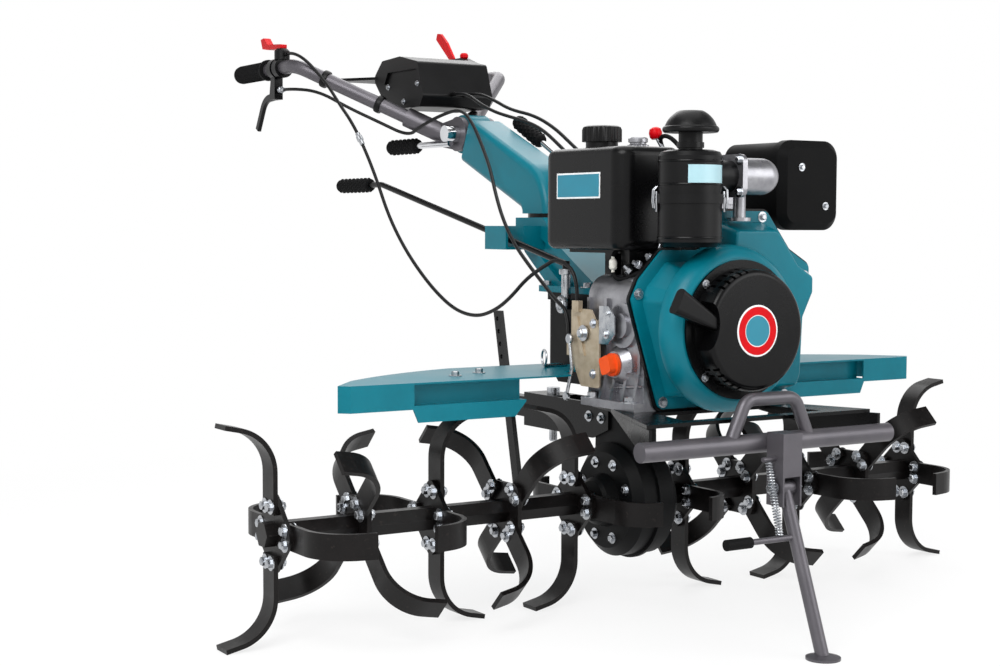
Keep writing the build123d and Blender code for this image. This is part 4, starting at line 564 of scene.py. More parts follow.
@dataclass
class Studio:
    """Pale floor, soft lamps and the photograph's camera."""

    camera_at: Point = (2478.9, -1818.3, 686.9)
    yaw: float = 31.89
    pitch: float = 3.71
    roll: float = 0.20
    lens: float = 60.138
    sensor: float = 36.0
    aim: Point = (0, 0, 550)
    floor_half: float = 30
    paper: str = "#f4f4f4"
    shadow_reach: Pair = (0.9, 2.0)
    shadow_white: float = 0.80
    room: float = 0.45
    ceiling: float = 0.15

    def build(self) -> None:
        """Make the camera, the floor, the lamps and the world."""
        self.place_camera()
        self.lay_floor()
        for lamp in LAMPS:
            lamp.hang(spot(*self.aim))
        self.light_room()
        bpy.context.scene.view_settings.view_transform = "Standard"

    def place_camera(self) -> None:
        """Set the camera where the photograph was taken from."""
        yaw, pitch, roll = (math.radians(a) for a in (self.yaw, self.pitch, self.roll))
        back = Vector((math.cos(yaw) * math.cos(pitch), -math.sin(yaw) * math.cos(pitch), math.sin(pitch)))
        right = (-back).cross(Vector(UP)).normalized()
        up = back.cross(right)
        turned = right * math.cos(roll) + up * math.sin(roll)
        up = up * math.cos(roll) - right * math.sin(roll)
        data = bpy.data.cameras.new("camera")
        data.lens = self.lens
        data.sensor_width = self.sensor
        camera = bpy.data.objects.new("camera", data)
        bpy.context.scene.collection.objects.link(camera)
        aimed = Matrix((turned, up, back)).transposed().to_4x4()
        camera.matrix_world = Matrix.Translation(spot(*self.camera_at)) @ aimed
        bpy.context.scene.camera = camera

    def seen(self, tree: bpy.types.NodeTree) -> bpy.types.Node:
        """Tell rays that show the background from rays that only light the machine.

        Args:
            tree: Tree that gets the nodes.

        Returns:
            Node that gives one for camera, glossy and transmission rays.
        """
        rays = add(tree, "ShaderNodeLightPath")
        mirror = add(tree, "ShaderNodeMath", {0: (rays, "Is Glossy Ray"), 1: (rays, "Is Transmission Ray")},
                     operation="MAXIMUM")
        return add(tree, "ShaderNodeMath", {0: (rays, "Is Camera Ray"), 1: (mirror, 0)}, operation="MAXIMUM")

    def lay_floor(self) -> None:
        """Lay a pale matt floor that keeps the shadow near the machine and is white further out."""
        shape = bmesh.new()
        bmesh.ops.create_grid(shape, x_segments=1, y_segments=1, size=self.floor_half)
        mesh = bpy.data.meshes.new("floor")
        shape.to_mesh(mesh)
        shape.free()
        floor = bpy.data.objects.new("floor", mesh)
        bpy.context.scene.collection.objects.link(floor)
        material = bpy.data.materials.new("studio_paper")
        material.use_nodes = True
        tree = material.node_tree
        paper = tree.nodes["Principled BSDF"]
        paper.inputs["Base Color"].default_value = linear(self.paper)
        paper.inputs["Roughness"].default_value = 0.9
        glow = add(tree, "ShaderNodeEmission", None, {"Color": linear("#ffffff"), "Strength": 1.0})
        place = add(tree, "ShaderNodeTexCoord")
        far = add(tree, "ShaderNodeVectorMath", {0: (place, "Object")}, operation="LENGTH")
        white = add(tree, "ShaderNodeMapRange", {"Value": (far, "Value")},
                    {"From Min": self.shadow_reach[0], "From Max": self.shadow_reach[1],
                     "To Min": self.shadow_white, "To Max": 1.0})
        share = add(tree, "ShaderNodeMath", {0: (self.seen(tree), 0), 1: (white, 0)}, operation="MULTIPLY")
        mix = add(tree, "ShaderNodeMixShader", {0: (share, 0), 1: (paper, 0), 2: (glow, 0)})
        tree.links.new(mix.outputs[0], tree.nodes["Material Output"].inputs["Surface"])
        mesh.materials.append(material)

    def light_room(self) -> None:
        """Light the machine from a white room with a dim ceiling."""
        world = bpy.data.worlds.new("studio")
        bpy.context.scene.world = world
        world.use_nodes = True
        tree = world.node_tree
        room = tree.nodes["Background"]
        room.inputs["Color"].default_value = linear("#ffffff")
        room.inputs["Strength"].default_value = self.room
        way = add(tree, "ShaderNodeTexCoord")
        height = add(tree, "ShaderNodeSeparateXYZ", {0: (way, "Generated")})
        ceiling = add(tree, "ShaderNodeMapRange", {"Value": (height, "Z")},
                      {"From Min": 0.2, "From Max": 0.8, "To Min": 1.0, "To Max": self.ceiling})
        white = add(tree, "ShaderNodeBackground", {"Strength": (ceiling, 0)}, {"Color": linear("#ffffff")})
        mix = add(tree, "ShaderNodeMixShader", {0: (self.seen(tree), 0), 1: (room, 0), 2: (white, 0)})
        tree.links.new(mix.outputs[0], tree.nodes["World Output"].inputs["Surface"])


def new_tree(name: str, inputs: list[str]) -> tuple[bpy.types.NodeTree, bpy.types.Node]:
    """Geometry Nodes tree with named inputs for its sizes.

    Args:
        name: Name of the tree.
        inputs: Names of its sizes.

    Returns:
        The tree and its input node.
    """
    tree = bpy.data.node_groups.new(name, "GeometryNodeTree")
    tree.interface.new_socket("Geometry", in_out="INPUT", socket_type="NodeSocketGeometry")
    for socket in inputs:
        tree.interface.new_socket(socket, in_out="INPUT", socket_type="NodeSocketFloat")
    tree.interface.new_socket("Geometry", in_out="OUTPUT", socket_type="NodeSocketGeometry")
    return tree, add(tree, "NodeGroupInput")


def finish_tree(tree: bpy.types.NodeTree, form: bpy.types.Node, finish: Finish) -> None:
    """End a tree with its instances made real and its finish set.

    Args:
        tree: The tree.
        form: Node with the geometry.
        finish: Finish of the piece.
    """
    real = add(tree, "GeometryNodeRealizeInstances", {0: (form, 0)})
    painted = add(tree, "GeometryNodeSetMaterial", {0: (real, 0)}, {"Material": finish.material()})
    add(tree, "NodeGroupOutput", {0: (painted, 0)})


def grown(seed: bpy.types.Mesh, tree: bpy.types.NodeTree, sizes: dict[str, float]) -> bpy.types.Mesh:
    """Plain mesh that a tree makes.

    Args:
        seed: Mesh that the tree starts from.
        tree: The tree.
        sizes: Values of its named inputs.

    Returns:
        The mesh, with the modifier gone.
    """
    holder = scratch(seed)
    change = holder.modifiers.new(tree.name, "NODES")
    change.node_group = tree
    for socket in tree.interface.items_tree:
        if socket.in_out == "INPUT" and socket.name in sizes:
            change[socket.identifier] = sizes[socket.name]
    return frozen(holder, tree.name)


class Unit(Enum):
    """Small forms that a Geometry Nodes tree repeats."""

    HEX = "hex_bolt"
    PAN = "pan_screw"
    RIB = "grip_rib"
    STUD = "grip_stud"


BOLT_SIZES = {"Washer Radius": 0.95, "Head Radius": 0.577, "Crown Radius": 0.44}
UNIT_SIZES = {
    Unit.HEX: BOLT_SIZES,
    Unit.PAN: BOLT_SIZES,
    Unit.RIB: {"Bead Radius": 0.075},
    Unit.STUD: {"Foot Radius": 0.7, "Top Radius": 0.3, "Height": 0.3},
}


@dataclass
class Pattern:
    """Small forms gathered for one body and set by a Geometry Nodes tree."""

    body: str
    finish: Finish = ZINC
    places: dict[Unit, list[tuple[Vector, Vector, float]]] = field(default_factory=dict)

    def put(self, at: Point, axis: Point, size: float, unit: Unit = Unit.HEX) -> None:
        """Note one form.

        Args:
            at: Millimetres in the axle frame, on the seat.
            axis: Direction the form points.
            size: Width across flats, or radius of a rib, in millimetres.
            unit: Kind of form.
        """
        self.places.setdefault(unit, []).append((spot(*at), Vector(axis).normalized(), size / 1000))

    def ring(self, centre: Point, axis: Point, radius: float, count: int, size: float, start: float = 0.0,
             unit: Unit = Unit.HEX) -> None:
        """Note a ring of forms.

        Args:
            centre: Middle of the ring.
            axis: Direction the forms point.
            radius: Radius of the ring in millimetres.
            count: Number of forms.
            size: Size of each in millimetres.
            start: Angle of the first one in degrees from the top.
            unit: Kind of form.
        """
        out = Vector(axis).normalized()
        up = Vector(UP)
        two = out.cross(up)
        for i in range(count):
            angle = math.radians(start + 360 * i / count)
            at = Vector(centre) + (up * math.cos(angle) + two * math.sin(angle)) * radius
            self.put(tuple(at), axis, size, unit)

    def sleeve(self, start: Point, end: Point, radius: float, rows: int, count: int, size: float) -> None:
        """Note studs all round a grip.

        Args:
            start: One end of the grip's axis.
            end: The other end.
            radius: Radius of the grip in millimetres.
            rows: Rows along the grip.
            count: Studs in a row.
            size: Width of a stud in millimetres.
        """
        a, way = Vector(start), Vector(end) - Vector(start)
        one = way.orthogonal().normalized()
        two = way.normalized().cross(one)
        for row in range(rows):
            for k in range(count):
                angle = 2 * math.pi * (k + row % 2 / 2) / count
                side = one * math.cos(angle) + two * math.sin(angle)
                self.put(tuple(a + way * (row + 0.5) / rows + side * radius), tuple(side), size, Unit.STUD)

    def build(self) -> None:
        """Make one mesh of all the forms of each kind."""
        for unit, places in self.places.items():
            mesh = bpy.data.meshes.new("seats")
            mesh.from_pydata([p for p, _, _ in places], [], [])
            mesh.attributes.new("axis", "FLOAT_VECTOR", "POINT")
            mesh.attributes.new("size", "FLOAT", "POINT")
            for i, (_, axis, size) in enumerate(places):
                mesh.attributes["axis"].data[i].vector = axis
                mesh.attributes["size"].data[i].value = size
            made = grown(mesh, self.tree(unit), UNIT_SIZES[unit])
            piece(f"{self.body}_{unit.value}s", made, self.finish, self.body)

    def tree(self, unit: Unit) -> bpy.types.NodeTree:
        """Tree that sets a form of unit size on every point.

        Args:
            unit: Kind of form.

        Returns:
            The node tree.
        """
        tree, source = new_tree(unit.value, list(UNIT_SIZES[unit]))
        if unit is Unit.RIB:
            form = self.rib(tree, source)
        elif unit is Unit.STUD:
            form = add(tree, "GeometryNodeMeshCone",
                       {"Radius Top": (source, "Top Radius"), "Radius Bottom": (source, "Foot Radius"),
                        "Depth": (source, "Height")}, {"Vertices": 4})
        else:
            form = self.head(tree, source, 6 if unit is Unit.HEX else 16)
        axis = add(tree, "GeometryNodeInputNamedAttribute", None, {"Name": "axis"}, data_type="FLOAT_VECTOR")
        size = add(tree, "GeometryNodeInputNamedAttribute", None, {"Name": "size"}, data_type="FLOAT")
        turn = add(tree, "FunctionNodeAlignRotationToVector", {"Vector": (axis, "Attribute")}, axis="Z")
        setting = add(tree, "GeometryNodeInstanceOnPoints",
                      {"Points": (source, 0), "Instance": (form, 0), "Rotation": (turn, 0),
                       "Scale": (size, "Attribute")})
        finish_tree(tree, setting, self.finish)
        return tree

    def head(self, tree: bpy.types.NodeTree, source: bpy.types.Node, sides: int) -> bpy.types.Node:
        """Washer, head and crown of a bolt, one unit across.

        Args:
            tree: Tree that gets the nodes.
            source: Input node with the sizes.
            sides: Sides of the head.

        Returns:
            Node with the joined mesh.
        """
        parts = [
            (add(tree, "GeometryNodeMeshCylinder", {"Radius": (source, "Washer Radius")},
                 {"Vertices": 20, "Depth": 0.14}), 0.05),
            (add(tree, "GeometryNodeMeshCylinder", {"Radius": (source, "Head Radius")},
                 {"Vertices": sides, "Depth": 0.5}), 0.34),
            (add(tree, "GeometryNodeMeshCone",
                 {"Radius Top": (source, "Crown Radius"), "Radius Bottom": (source, "Head Radius")},
                 {"Vertices": sides, "Depth": 0.1}), 0.59)]
        whole = add(tree, "GeometryNodeJoinGeometry")
        for part, lift in parts:
            raised = add(tree, "GeometryNodeTransform", {"Geometry": (part, "Mesh")},
                         {"Translation": (0, 0, lift)})
            tree.links.new(raised.outputs[0], whole.inputs[0])
        return whole

    def rib(self, tree: bpy.types.NodeTree, source: bpy.types.Node) -> bpy.types.Node:
        """Round bead of unit radius about the axis.

        Args:
            tree: Tree that gets the nodes.
            source: Input node with the bead's size.

        Returns:
            Node with the mesh.
        """
        round_line = add(tree, "GeometryNodeCurvePrimitiveCircle", None, {"Resolution": 36, "Radius": 1.0})
        bead = add(tree, "GeometryNodeCurvePrimitiveCircle", {"Radius": (source, "Bead Radius")},
                   {"Resolution": 8})
        return add(tree, "GeometryNodeCurveToMesh", {"Curve": (round_line, 0), "Profile Curve": (bead, 0)})


@dataclass
class ReelBolts:
    """Bolts that hold the blades to the reel's flanges."""

    axle_z: float = 184
    first: float = 118
    pitch: float = 147
    groups: int = 5
    turn: float = 45
    flange: float = 8
    blade: float = 8
    radius: float = 46
    apart: float = 11
    across: float = 13

    def gather(self) -> Pattern:
        """Set two bolts through every blade.

        Returns:
            The fasteners of the reel body.
        """
        bolts = Pattern("reel")
        for hand in (-1, 1):
            for group in range(self.groups):
                y = hand * (self.first + group * self.pitch)
                phase = self.turn * (self.groups - 1 - group)
                for k in range(4):
                    side = hand if k % 2 == 0 else -hand
                    angle = math.radians(phase + 90 * k)
                    out = Vector((math.sin(angle), 0, math.cos(angle)))
                    across = Vector((math.cos(angle), 0, -math.sin(angle)))
                    for shift in (-self.apart, self.apart):
                        at = Vector((0, y, self.axle_z)) + out * self.radius + across * shift
                        front = at + Vector((0, side * (self.flange / 2 + self.blade), 0))
                        back = at - Vector((0, side * self.flange / 2, 0))
                        bolts.put(tuple(front), (0, side, 0), self.across)
                        bolts.put(tuple(back), (0, -side, 0), self.across)
        return bolts


@dataclass(frozen=True)
class Row:
    """Like fasteners that point one way."""

    what: str
    axis: Point
    size: float
    places: Sequence[Point]
    unit: Unit = Unit.HEX


@dataclass
class ChassisBolts:
    """Bolts and screws of the engine, the gearbox, the bed and the fenders."""

    axle_z: float = 184
    case_face: float = 50
    case_ring: float = 72
    hitch_face: float = 32.3
    hitch_z: float = 330
    fender_top: float = 428
    foot_z: float = 386
    base_top: float = 572
    shroud_x: float = 236
    starter_at: Point = (322, 0, 513)
    starter_ring: float = 109
    muffler_x: float = 246
    intake_z: float = 770
    intake_half: float = 27
    plate_y: float = -148
    bracket_y: float = -150.8

    def gather(self) -> Pattern:
        """Set every bolt of the chassis.

        Returns:
            The pattern of the chassis body.
        """
        bolts = Pattern("chassis")
        for side in (-1, 1):
            bolts.ring((0, side * self.case_face, self.axle_z), (0, side, 0), self.case_ring,
                       count=8, size=11, start=22.5)
        bolts.ring(self.starter_at, FORWARD, self.starter_ring, count=4, size=8, start=45, unit=Unit.PAN)
        for row in self.rows():
            for at in row.places:
                bolts.put(at, row.axis, row.size, row.unit)
            LOG.info("%s: %d fasteners", row.what, len(row.places))
        return bolts

    def rows(self) -> list[Row]:
        """Fasteners of each face.

        Returns:
            The rows, with their places in the axle frame.
        """
        paired = []
        for side in (-1, 1):
            out = (0, side, 0)
            paired += [
                Row("hitch", out, 11, [(x, side * self.hitch_face, self.hitch_z) for x in (-35, -75)]),
                Row("fender", UP, 12,
                    [(x, side * y, self.fender_top) for x, y in ((18, 377), (-11, 312))]),
                Row("stand pivot", out, 14, [(433.3, side * 23.5, 262)])]
        shroud = [(-151, 572), (-98, 388), (172, 388), (190, 444), (216, 598), (116, 702)]
        flange = [self.intake_z - self.intake_half, self.intake_z + self.intake_half]
        return paired + [
            Row("engine feet", UP, 15, [(x, y, self.foot_z) for x in (90, 200) for y in (-141, 129)]),
            Row("handle base", UP, 13,
                [(x, y, self.base_top) for x, y in ((-180, -59), (-110, -59), (-45, -59), (-184, 30))]),
            Row("shroud", FORWARD, 10, [(self.shroud_x, y, z) for y, z in shroud]),
            Row("muffler", FORWARD, 7.5, [(self.muffler_x, 197, 790), (self.muffler_x, 254, 722)], Unit.PAN),
            Row("intake flange", RIGHT, 10, [(x, 0, z) for z in flange for x in (312, 258)]),
            Row("control plate", RIGHT, 9, [(102, self.plate_y, z) for z in (428, 516)]),
            Row("control lever", RIGHT, 15, [(76, -151, 498)]),
            Row("governor bracket", RIGHT, 9, [(144, self.bracket_y, 500)]),
            Row("governor stop", RIGHT, 7, [(150, self.bracket_y, 536)])]


@dataclass
class Spring:
    """Return spring of the stand, from the bracket's hook to the peg."""

    hook: Point = (433.3, -33, 306)
    peg: Point = (462.1, -33, 190)
    radius: float = 6.6
    wire: float = 1.2
    turns: float = 26.0

    def build(self) -> None:
        """Wind the coil with a Geometry Nodes tree and stretch it between its two hooks."""
        top, foot = spot(*self.hook), spot(*self.peg)
        sizes = {"Turns": self.turns, "Coil Radius": (self.radius - self.wire) / 1000,
                 "Wire Radius": self.wire / 1000, "Height": (foot - top).length}
        tree, source = new_tree("coil", list(sizes))
        wind = add(tree, "GeometryNodeCurveSpiral",
                   {"Rotations": (source, "Turns"), "Start Radius": (source, "Coil Radius"),
                    "End Radius": (source, "Coil Radius"), "Height": (source, "Height")}, {"Resolution": 20})
        section = add(tree, "GeometryNodeCurvePrimitiveCircle", {"Radius": (source, "Wire Radius")},
                      {"Resolution": 8})
        steel = add(tree, "GeometryNodeCurveToMesh", {"Curve": (wind, 0), "Profile Curve": (section, 0)})
        finish_tree(tree, steel, ZINC)
        coil = grown(bpy.data.meshes.new("coil"), tree, sizes)
        turn = (foot - top).to_track_quat("Z", "Y").to_matrix().to_4x4()
        coil.transform(Matrix.Translation(top) @ turn)
        made = piece("stand_spring_coil", coil, ZINC)
        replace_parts(made, "stand_spring")
        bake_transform(made)


@dataclass
class FuelTrim:
    """Caps, sign, lines and filter of the fuel system."""

    tank_top: float = 822
    tank_side: float = -150
    cap_at: Pair = (29, -81)
    vent_at: Pair = (137, -81)
    filter_at: Point = (120, -120, 604)
    hose_r: float = 4
    pipe_r: float = 3
    sign_x: Pair = (-11, 122)
    sign_z: Pair = (733, 778)
    sign_edge: float = 3

    def build(self) -> None:
        """Make the caps, the blank sign and the lines."""
        self.caps()
        self.sign()
        self.lines()

    def caps(self) -> None:
        """Turn the fluted filler cap and the vent cap."""
        cap = [(0, 0), (28.8, 0), (28.8, 12.6), (36, 12.8), (36, 34), (33.5, 39), (29, 41), (14, 42), (0, 42)]
        fluted = lathe((*self.cap_at, self.tank_top), UP, cap, flutes=20, depth=2.4, sides=120)
        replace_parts(piece("fluted_fuel_cap", fluted, ABS, "chassis"), "fuel_cap")
        vent = [(0, 0), (19, 0), (19, 3), (14, 5), (14, 7), (17, 8), (17, 14), (15, 16), (0, 16.5)]
        turned = lathe((*self.vent_at, self.tank_top), UP, vent, flutes=16, depth=1.2, sides=96)
        piece("tank_vent_cap", turned, CAST, "chassis")

    def sign(self) -> None:
        """Set the blank sign on the tank's right side, a plain field with a white edge."""
        y = self.tank_side
        for name, finish, inset, thick in (("tank_sign", WHITE_FILM, 0, 0.5),
                                           ("tank_sign_field", TEAL_FILM, self.sign_edge, 0.8)):
            rear, front = self.sign_x[0] + inset, self.sign_x[1] - inset
            low, high = self.sign_z[0] + inset, self.sign_z[1] - inset
            outline = [(rear, y, low), (front, y, low), (front, y, high), (rear, y, high)]
            piece(name, slab(outline, (0, -thick, 0)), finish, "chassis")

    def lines(self) -> None:
        """Run the hoses and the pipe, with the filter and the unions on them."""
        leak_off = [(100, 24, 788), (86, 0, 836), (112, -4, 848), (148, -2, 830), (166, 22, 788)]
        piece("leak_off_hose", tube(leak_off, self.hose_r), RUBBER, "chassis")
        bulb = [(0, 0), (3, 0), (3, 5), (6, 7), (7, 9), (7, 21), (6, 23), (3, 25), (3, 30), (0, 30)]
        piece("fuel_filter", lathe(self.filter_at, UP, bulb), MILKY, "chassis")
        inlet = [(120, -120, 632), (120, -118, 640), (124, -108, 648)]
        outlet = [(120, -120, 605), (122, -119, 596), (140, -112, 592), (164, -98, 606), (176, -84, 612)]
        piece("fuel_hose", joined([tube(inlet, self.hose_r), tube(outlet, self.hose_r)]), RUBBER, "chassis")
        union = [(0, 0), (7, 0), (8, 1), (8, 7), (7, 8), (4, 8), (4, 16), (0, 16)]
        hexes = [((150, -104, 606), (-0.4, -0.6, 0.7)), ((166, -96, 618), (0, -1, 0.4)),
                 ((182, -84, 630), (0.3, -0.8, 0.3))]
        unions = [lathe(at, axis, union, sides=6) for at, axis in hexes]
        unions.append(lathe((206, -96, 622), (0.2, -1, 0), union))
        piece("pipe_unions", joined(unions), ZINC, "chassis")
        injection = [(187, -73, 636), (187, -72, 660), (196, -50, 664), (202, -20, 668), (200, 2, 690)]
        piece("injection_pipe", tube(injection, self.pipe_r), ZINC, "chassis")


@dataclass
class IntakeTrim:
    """Clips, hose clamp, beads and blank sign of the air cleaner."""

    middle: Pair = (285, -83)
    radius: float = 53
    band_z: float = 731
    neck_z: float = 815
    clip_turns: Pair = (-118, 46)
    bead_z: tuple[float, ...] = (664, 752, 790)
    sign_z: Pair = (756, 786)
    sign_start: float = -42
    sign_sweep: float = 80
    sign_steps: int = 16
    film: float = 0.5

    def build(self) -> None:
        """Make the clips, the clamp, the beads and the sign."""
        clips = [mesh for angle in self.clip_turns for mesh in self.clip(angle)]
        piece("air_cleaner_clips", joined(clips), ZINC, "chassis")
        clamp = lathe((*self.middle, self.neck_z), UP, collar(20.2, 22.5, 9))
        piece("neck_clamp", clamp, BLACK, "chassis")
        bead = [(52, 0), (54, 1), (54.6, 2.5), (54, 4), (52, 5), (52, 0)]
        beads = [lathe((*self.middle, z), UP, bead) for z in self.bead_z]
        piece("air_cleaner_beads", joined(beads), BLACK, "chassis")
        self.sign()

    def clip(self, angle: float) -> list[bpy.types.Mesh]:
        """Over-centre clip across the canister's band.

        Args:
            angle: Place round the canister in degrees.

        Returns:
            Its plate and its wire.
        """
        turn = math.radians(angle)
        out = Vector((math.cos(turn), math.sin(turn), 0))
        along = Vector((-math.sin(turn), math.cos(turn), 0))

        def at(reach: float, side: float, lift: float) -> Point:
            """Place out from the drum, along its wall and over the band."""
            level = Vector((*self.middle, self.band_z + lift))
            return tuple(level + out * (self.radius + reach) + along * side)

        corners = [at(2.6, -6, -22), at(2.6, 6, -22), at(2.6, 6, 12), at(2.6, -6, 12)]
        plate = slab(corners, tuple(out * 2.5), bevel=0.6)
        wire = tube([at(3, -8, 20), at(8, -8, 14), at(9, -8, -4), at(7, -8, -16), at(7, 8, -16), at(9, 8, -4),
                     at(8, 8, 14), at(3, 8, 20)], 1.4, order=2)
        return [plate, wire]

    def sign(self) -> None:
        """Wrap the blank sign round the front of the canister."""
        shape = bmesh.new()
        reach = self.radius + self.film
        rows = []
        for z in self.sign_z:
            turns = [math.radians(self.sign_start + self.sign_sweep * i / self.sign_steps)
                     for i in range(self.sign_steps + 1)]
            rows.append([shape.verts.new(spot(self.middle[0] + reach * math.cos(turn),
                                              self.middle[1] + reach * math.sin(turn), z)) for turn in turns])
        for i in range(self.sign_steps):
            shape.faces.new((rows[0][i], rows[0][i + 1], rows[1][i + 1], rows[1][i]))
        piece("air_cleaner_sign", meshed(shape, "sign"), PALE_FILM, "chassis")


@dataclass
class EngineTrim:
    """Blank badge, decompression lever and the small steel parts on the engine's right side."""

    badge_at: Point = (362, 0, 513)
    badge_r: float = 43
    badge_rim: float = 3
    band_share: float = 0.62
    field_share: float = 0.58
    bracket_y: float = -148.3
    bracket_t: float = 2.5
    rod_r: float = 3.2
    rib_r: float = 2.6

    def build(self) -> None:
        """Make the badge, the lever, the governor's bracket and rod, the ribs and the ring pin."""
        self.badge()
        self.lever()
        self.governor()
        self.ribs()
        self.ring_pin()

    def badge(self) -> None:
        """Set the blank badge on the starter: a white plate, a red band and a plain field."""
        r, inner = self.badge_r, self.badge_r - self.badge_rim
        plate = [(0, 0), (r, 0), (r, 1.2), (r - 1.5, 1.6), (inner, 1.2), (0, 1.2)]
        piece("starter_badge", lathe(self.badge_at, FORWARD, plate), WHITE_FILM, "chassis")
        band = collar(r * self.band_share, inner, height=0.6, foot=1.1)
        piece("starter_badge_band", lathe(self.badge_at, FORWARD, band), RED, "chassis")
        disc = [(0, 1.1), (r * self.field_share, 1.1), (r * self.field_share, 1.7), (0, 1.7)]
        piece("starter_badge_field", lathe(self.badge_at, FORWARD, disc), TEAL_FILM, "chassis")

    def lever(self) -> None:
        """Make the decompression lever and its red knob."""
        bent = tube([(110, 20, 788), (104, 12, 806), (90, -2, 836), (87, -4, 846)], 3.5)
        piece("decompression_lever", bent, ZINC, "chassis")
        knob = [(0, 0), (8, 0), (11, 4), (12, 11), (10, 18), (5, 21), (0, 21.5)]
        piece("decompression_knob", lathe((87, -4, 840), (-0.15, -0.05, 1), knob), RED, "chassis")

    def governor(self) -> None:
        """Make the bright bracket beside the control plate, and the rod with its two eyes."""
        corners = [(122, 482), (150, 482), (168, 500), (168, 530), (150, 548), (122, 548)]
        bracket = slab([(x, self.bracket_y, z) for x, z in corners], (0, -self.bracket_t, 0), 0.6)
        rod = tube([(40, -156, 486), (52, -158, 440), (50, -158, 428), (34, -158, 384)], self.rod_r)
        eyes = [lathe((40, -159, 486), LEFT, button(9, 6)), lathe((34, -161, 384), LEFT, button(8, 6))]
        piece("governor_linkage", joined([bracket, rod, *eyes]), ZINC, "chassis")

    def ribs(self) -> None:
        """Raise the two ribs low on the block's side."""
        ribs = [tube([(128, -131, z), (160, -133, z + 6), (222, -131, z + 10)], self.rib_r)
                for z in (404, 426)]
        piece("casting_ribs", joined(ribs), CAST, "chassis")

    def ring_pin(self) -> None:
        """Make the ring and the shank of the pin behind the engine."""
        ring = hoop((-50, -150, 446), (0.3, 1, 0), radius=14, wire=2)
        shank = tube([(-50, -150, 431), (-50, -140, 431), (-50, -100, 431)], 3)
        piece("ring_pin", joined([ring, shank]), ZINC, "chassis")


@dataclass
class ColumnTrim:
    """Studs of the grips and fittings of the shift link on the handle column."""

    grip_r: float = 14
    shift_grip: tuple[Point, Point] = ((-738, -150, 771), (-866, -150, 771))
    gear_grip: tuple[Point, Point] = ((-393, 63, 858.5), (-473, 63, 899.5))
    studs_round: int = 10
    stud: float = 6.5
    link_at: Pair = (-66, -92)
    pin_z: float = 541

    def build(self) -> None:
        """Set the studs of both grips and the link's fittings."""
        studs = Pattern("chassis", RUBBER)
        studs.sleeve(*self.shift_grip, self.grip_r, rows=14, count=self.studs_round, size=self.stud)
        studs.sleeve(*self.gear_grip, self.grip_r, rows=9, count=self.studs_round, size=self.stud)
        studs.build()
        x, y = self.link_at
        eye = [(7.2, 0), (12, 0), (13, 1), (13, 9), (12, 10), (7.2, 10), (7.2, 0)]
        nut = [(0, 0), (10, 0), (11, 1), (11, 8), (9, 10), (0, 10)]
        fittings = [lathe((x, y, 552), UP, collar(7.3, 8.6, 52)), lathe((x, y, 596), UP, eye),
                    hoop((x, y - 9, self.pin_z), LEFT, radius=12, wire=5),
                    lathe((x, y - 4, self.pin_z), RIGHT, nut, sides=6)]
        piece("shift_link_fittings", joined(fittings), ZINC, "chassis")


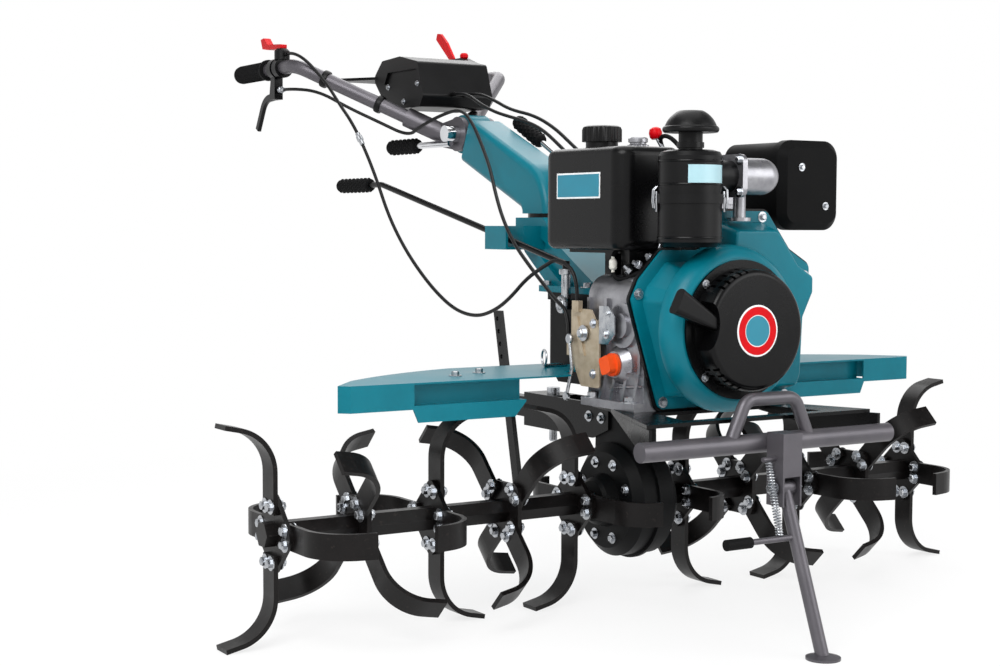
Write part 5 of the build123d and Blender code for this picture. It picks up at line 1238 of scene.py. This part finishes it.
@dataclass
class BarTrim:
    """Grip ribs, studs, cable ties, adjusters and screws on the handlebar."""

    grip_y: float = 262
    grip_z: float = 1031
    grip_end: float = -1154
    rib_r: float = 19.2
    rib_pitch: float = 7
    rib_count: int = 19
    clamp_grip: tuple[Point, Point] = ((-700, -54.3, 856), (-810, -54.3, 856))
    bar_foot: Point = (-625, -22, 876)
    bar_way: Point = (-242, -240, 155)
    tie_shares: Pair = (0.44, 0.80)
    console_side: float = 86

    def build(self) -> None:
        """Set the grips, ties, adjusters, knob and screws on the handlebar."""
        self.grips()
        self.ties()
        barrel = [(0, 0), (4.5, 0), (4.5, 8), (7.5, 9), (7.5, 17), (5, 18), (5, 30), (0, 31)]
        adjuster = lathe((-958, -self.grip_y, 983), FORWARD, barrel, flutes=12, depth=0.8)
        piece("clutch_adjuster", adjuster, ZINC, "handlebar")
        knob = [(0, 0), (7, 0), (10, 3), (10, 9), (7, 13), (0, 14)]
        piece("left_lever_knob", lathe((-1010, 248, 1085), UP, knob), RED, "handlebar")
        self.loop_adjuster(CABLES[0])
        self.screws()

    def grips(self) -> None:
        """Set the ribs of both grips and the studs of the clamp's grip."""
        rubber = Pattern("handlebar", RUBBER)
        for side in (-1, 1):
            for i in range(self.rib_count):
                at = (self.grip_end + self.rib_pitch * i, side * self.grip_y, self.grip_z)
                rubber.put(at, FORWARD, self.rib_r, Unit.RIB)
        rubber.sleeve(*self.clamp_grip, radius=15, rows=12, count=10, size=7)
        rubber.build()

    def ties(self) -> None:
        """Put two cable ties round the right tube."""
        way = Vector(self.bar_way)
        strap = [(15.4, -6), (18.6, -6), (19.4, -3), (19.4, 3), (18.6, 6), (15.4, 6), (15.4, -6)]
        places = [Vector(self.bar_foot) + way * share for share in self.tie_shares]
        piece("cable_ties", joined([lathe(tuple(at), tuple(way), strap) for at in places]), ABS, "handlebar")

    def loop_adjuster(self, cable: Cable) -> None:
        """Set the adjuster on a cable and bake its transform.

        Args:
            cable: The speed cable.
        """
        a, b = (Vector(cable.route[i]) for i in (4, 5))
        barrel = [(3.6, 0), (5, 1), (5, 8), (7, 9), (7, 19), (5, 20), (5, 30), (3.6, 31), (3.6, 0)]
        turned = lathe(tuple(a.lerp(b, 0.34)), tuple(b - a), barrel, flutes=12, depth=0.8)
        cable.bend(piece("loop_adjuster", turned, ZINC))

    def screws(self) -> None:
        """Set the screws of the console's two sides."""
        screws = Pattern("handlebar")
        for x, z in ((-640, 985), (-770, 985), (-700, 950)):
            for side in (-1, 1):
                screws.put((x, side * self.console_side, z), (0, side, 0), 7, Unit.PAN)
        screws.build()


@dataclass
class Machine:
    """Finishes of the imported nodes."""

    hot: tuple[str, str] = ("muffler", "muffler_cap")

    def dress(self) -> None:
        """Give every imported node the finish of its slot, or heat-resistant paint where it runs hot."""
        for entry in frame["record"]["subparts"]:
            finish = HEATPROOF if entry["node"] in self.hot else BY_SLOT[entry["material_slot"]]
            shown = frame["nodes"][entry["node"]]
            shown.data.materials.clear()
            shown.data.materials.append(finish.material())


def main() -> None:
    """Build and dress everything in order."""
    logging.basicConfig(level=logging.INFO, format="%(message)s")
    Studio().build()
    Machine().dress()
    for cable in CABLES:
        cable.build()
    for trim in (Spring(), FuelTrim(), IntakeTrim(), EngineTrim(), ColumnTrim(), BarTrim()):
        trim.build()
    for bolts in (ReelBolts(), ChassisBolts()):
        bolts.gather().build()


if __name__ == "__main__":
    main()
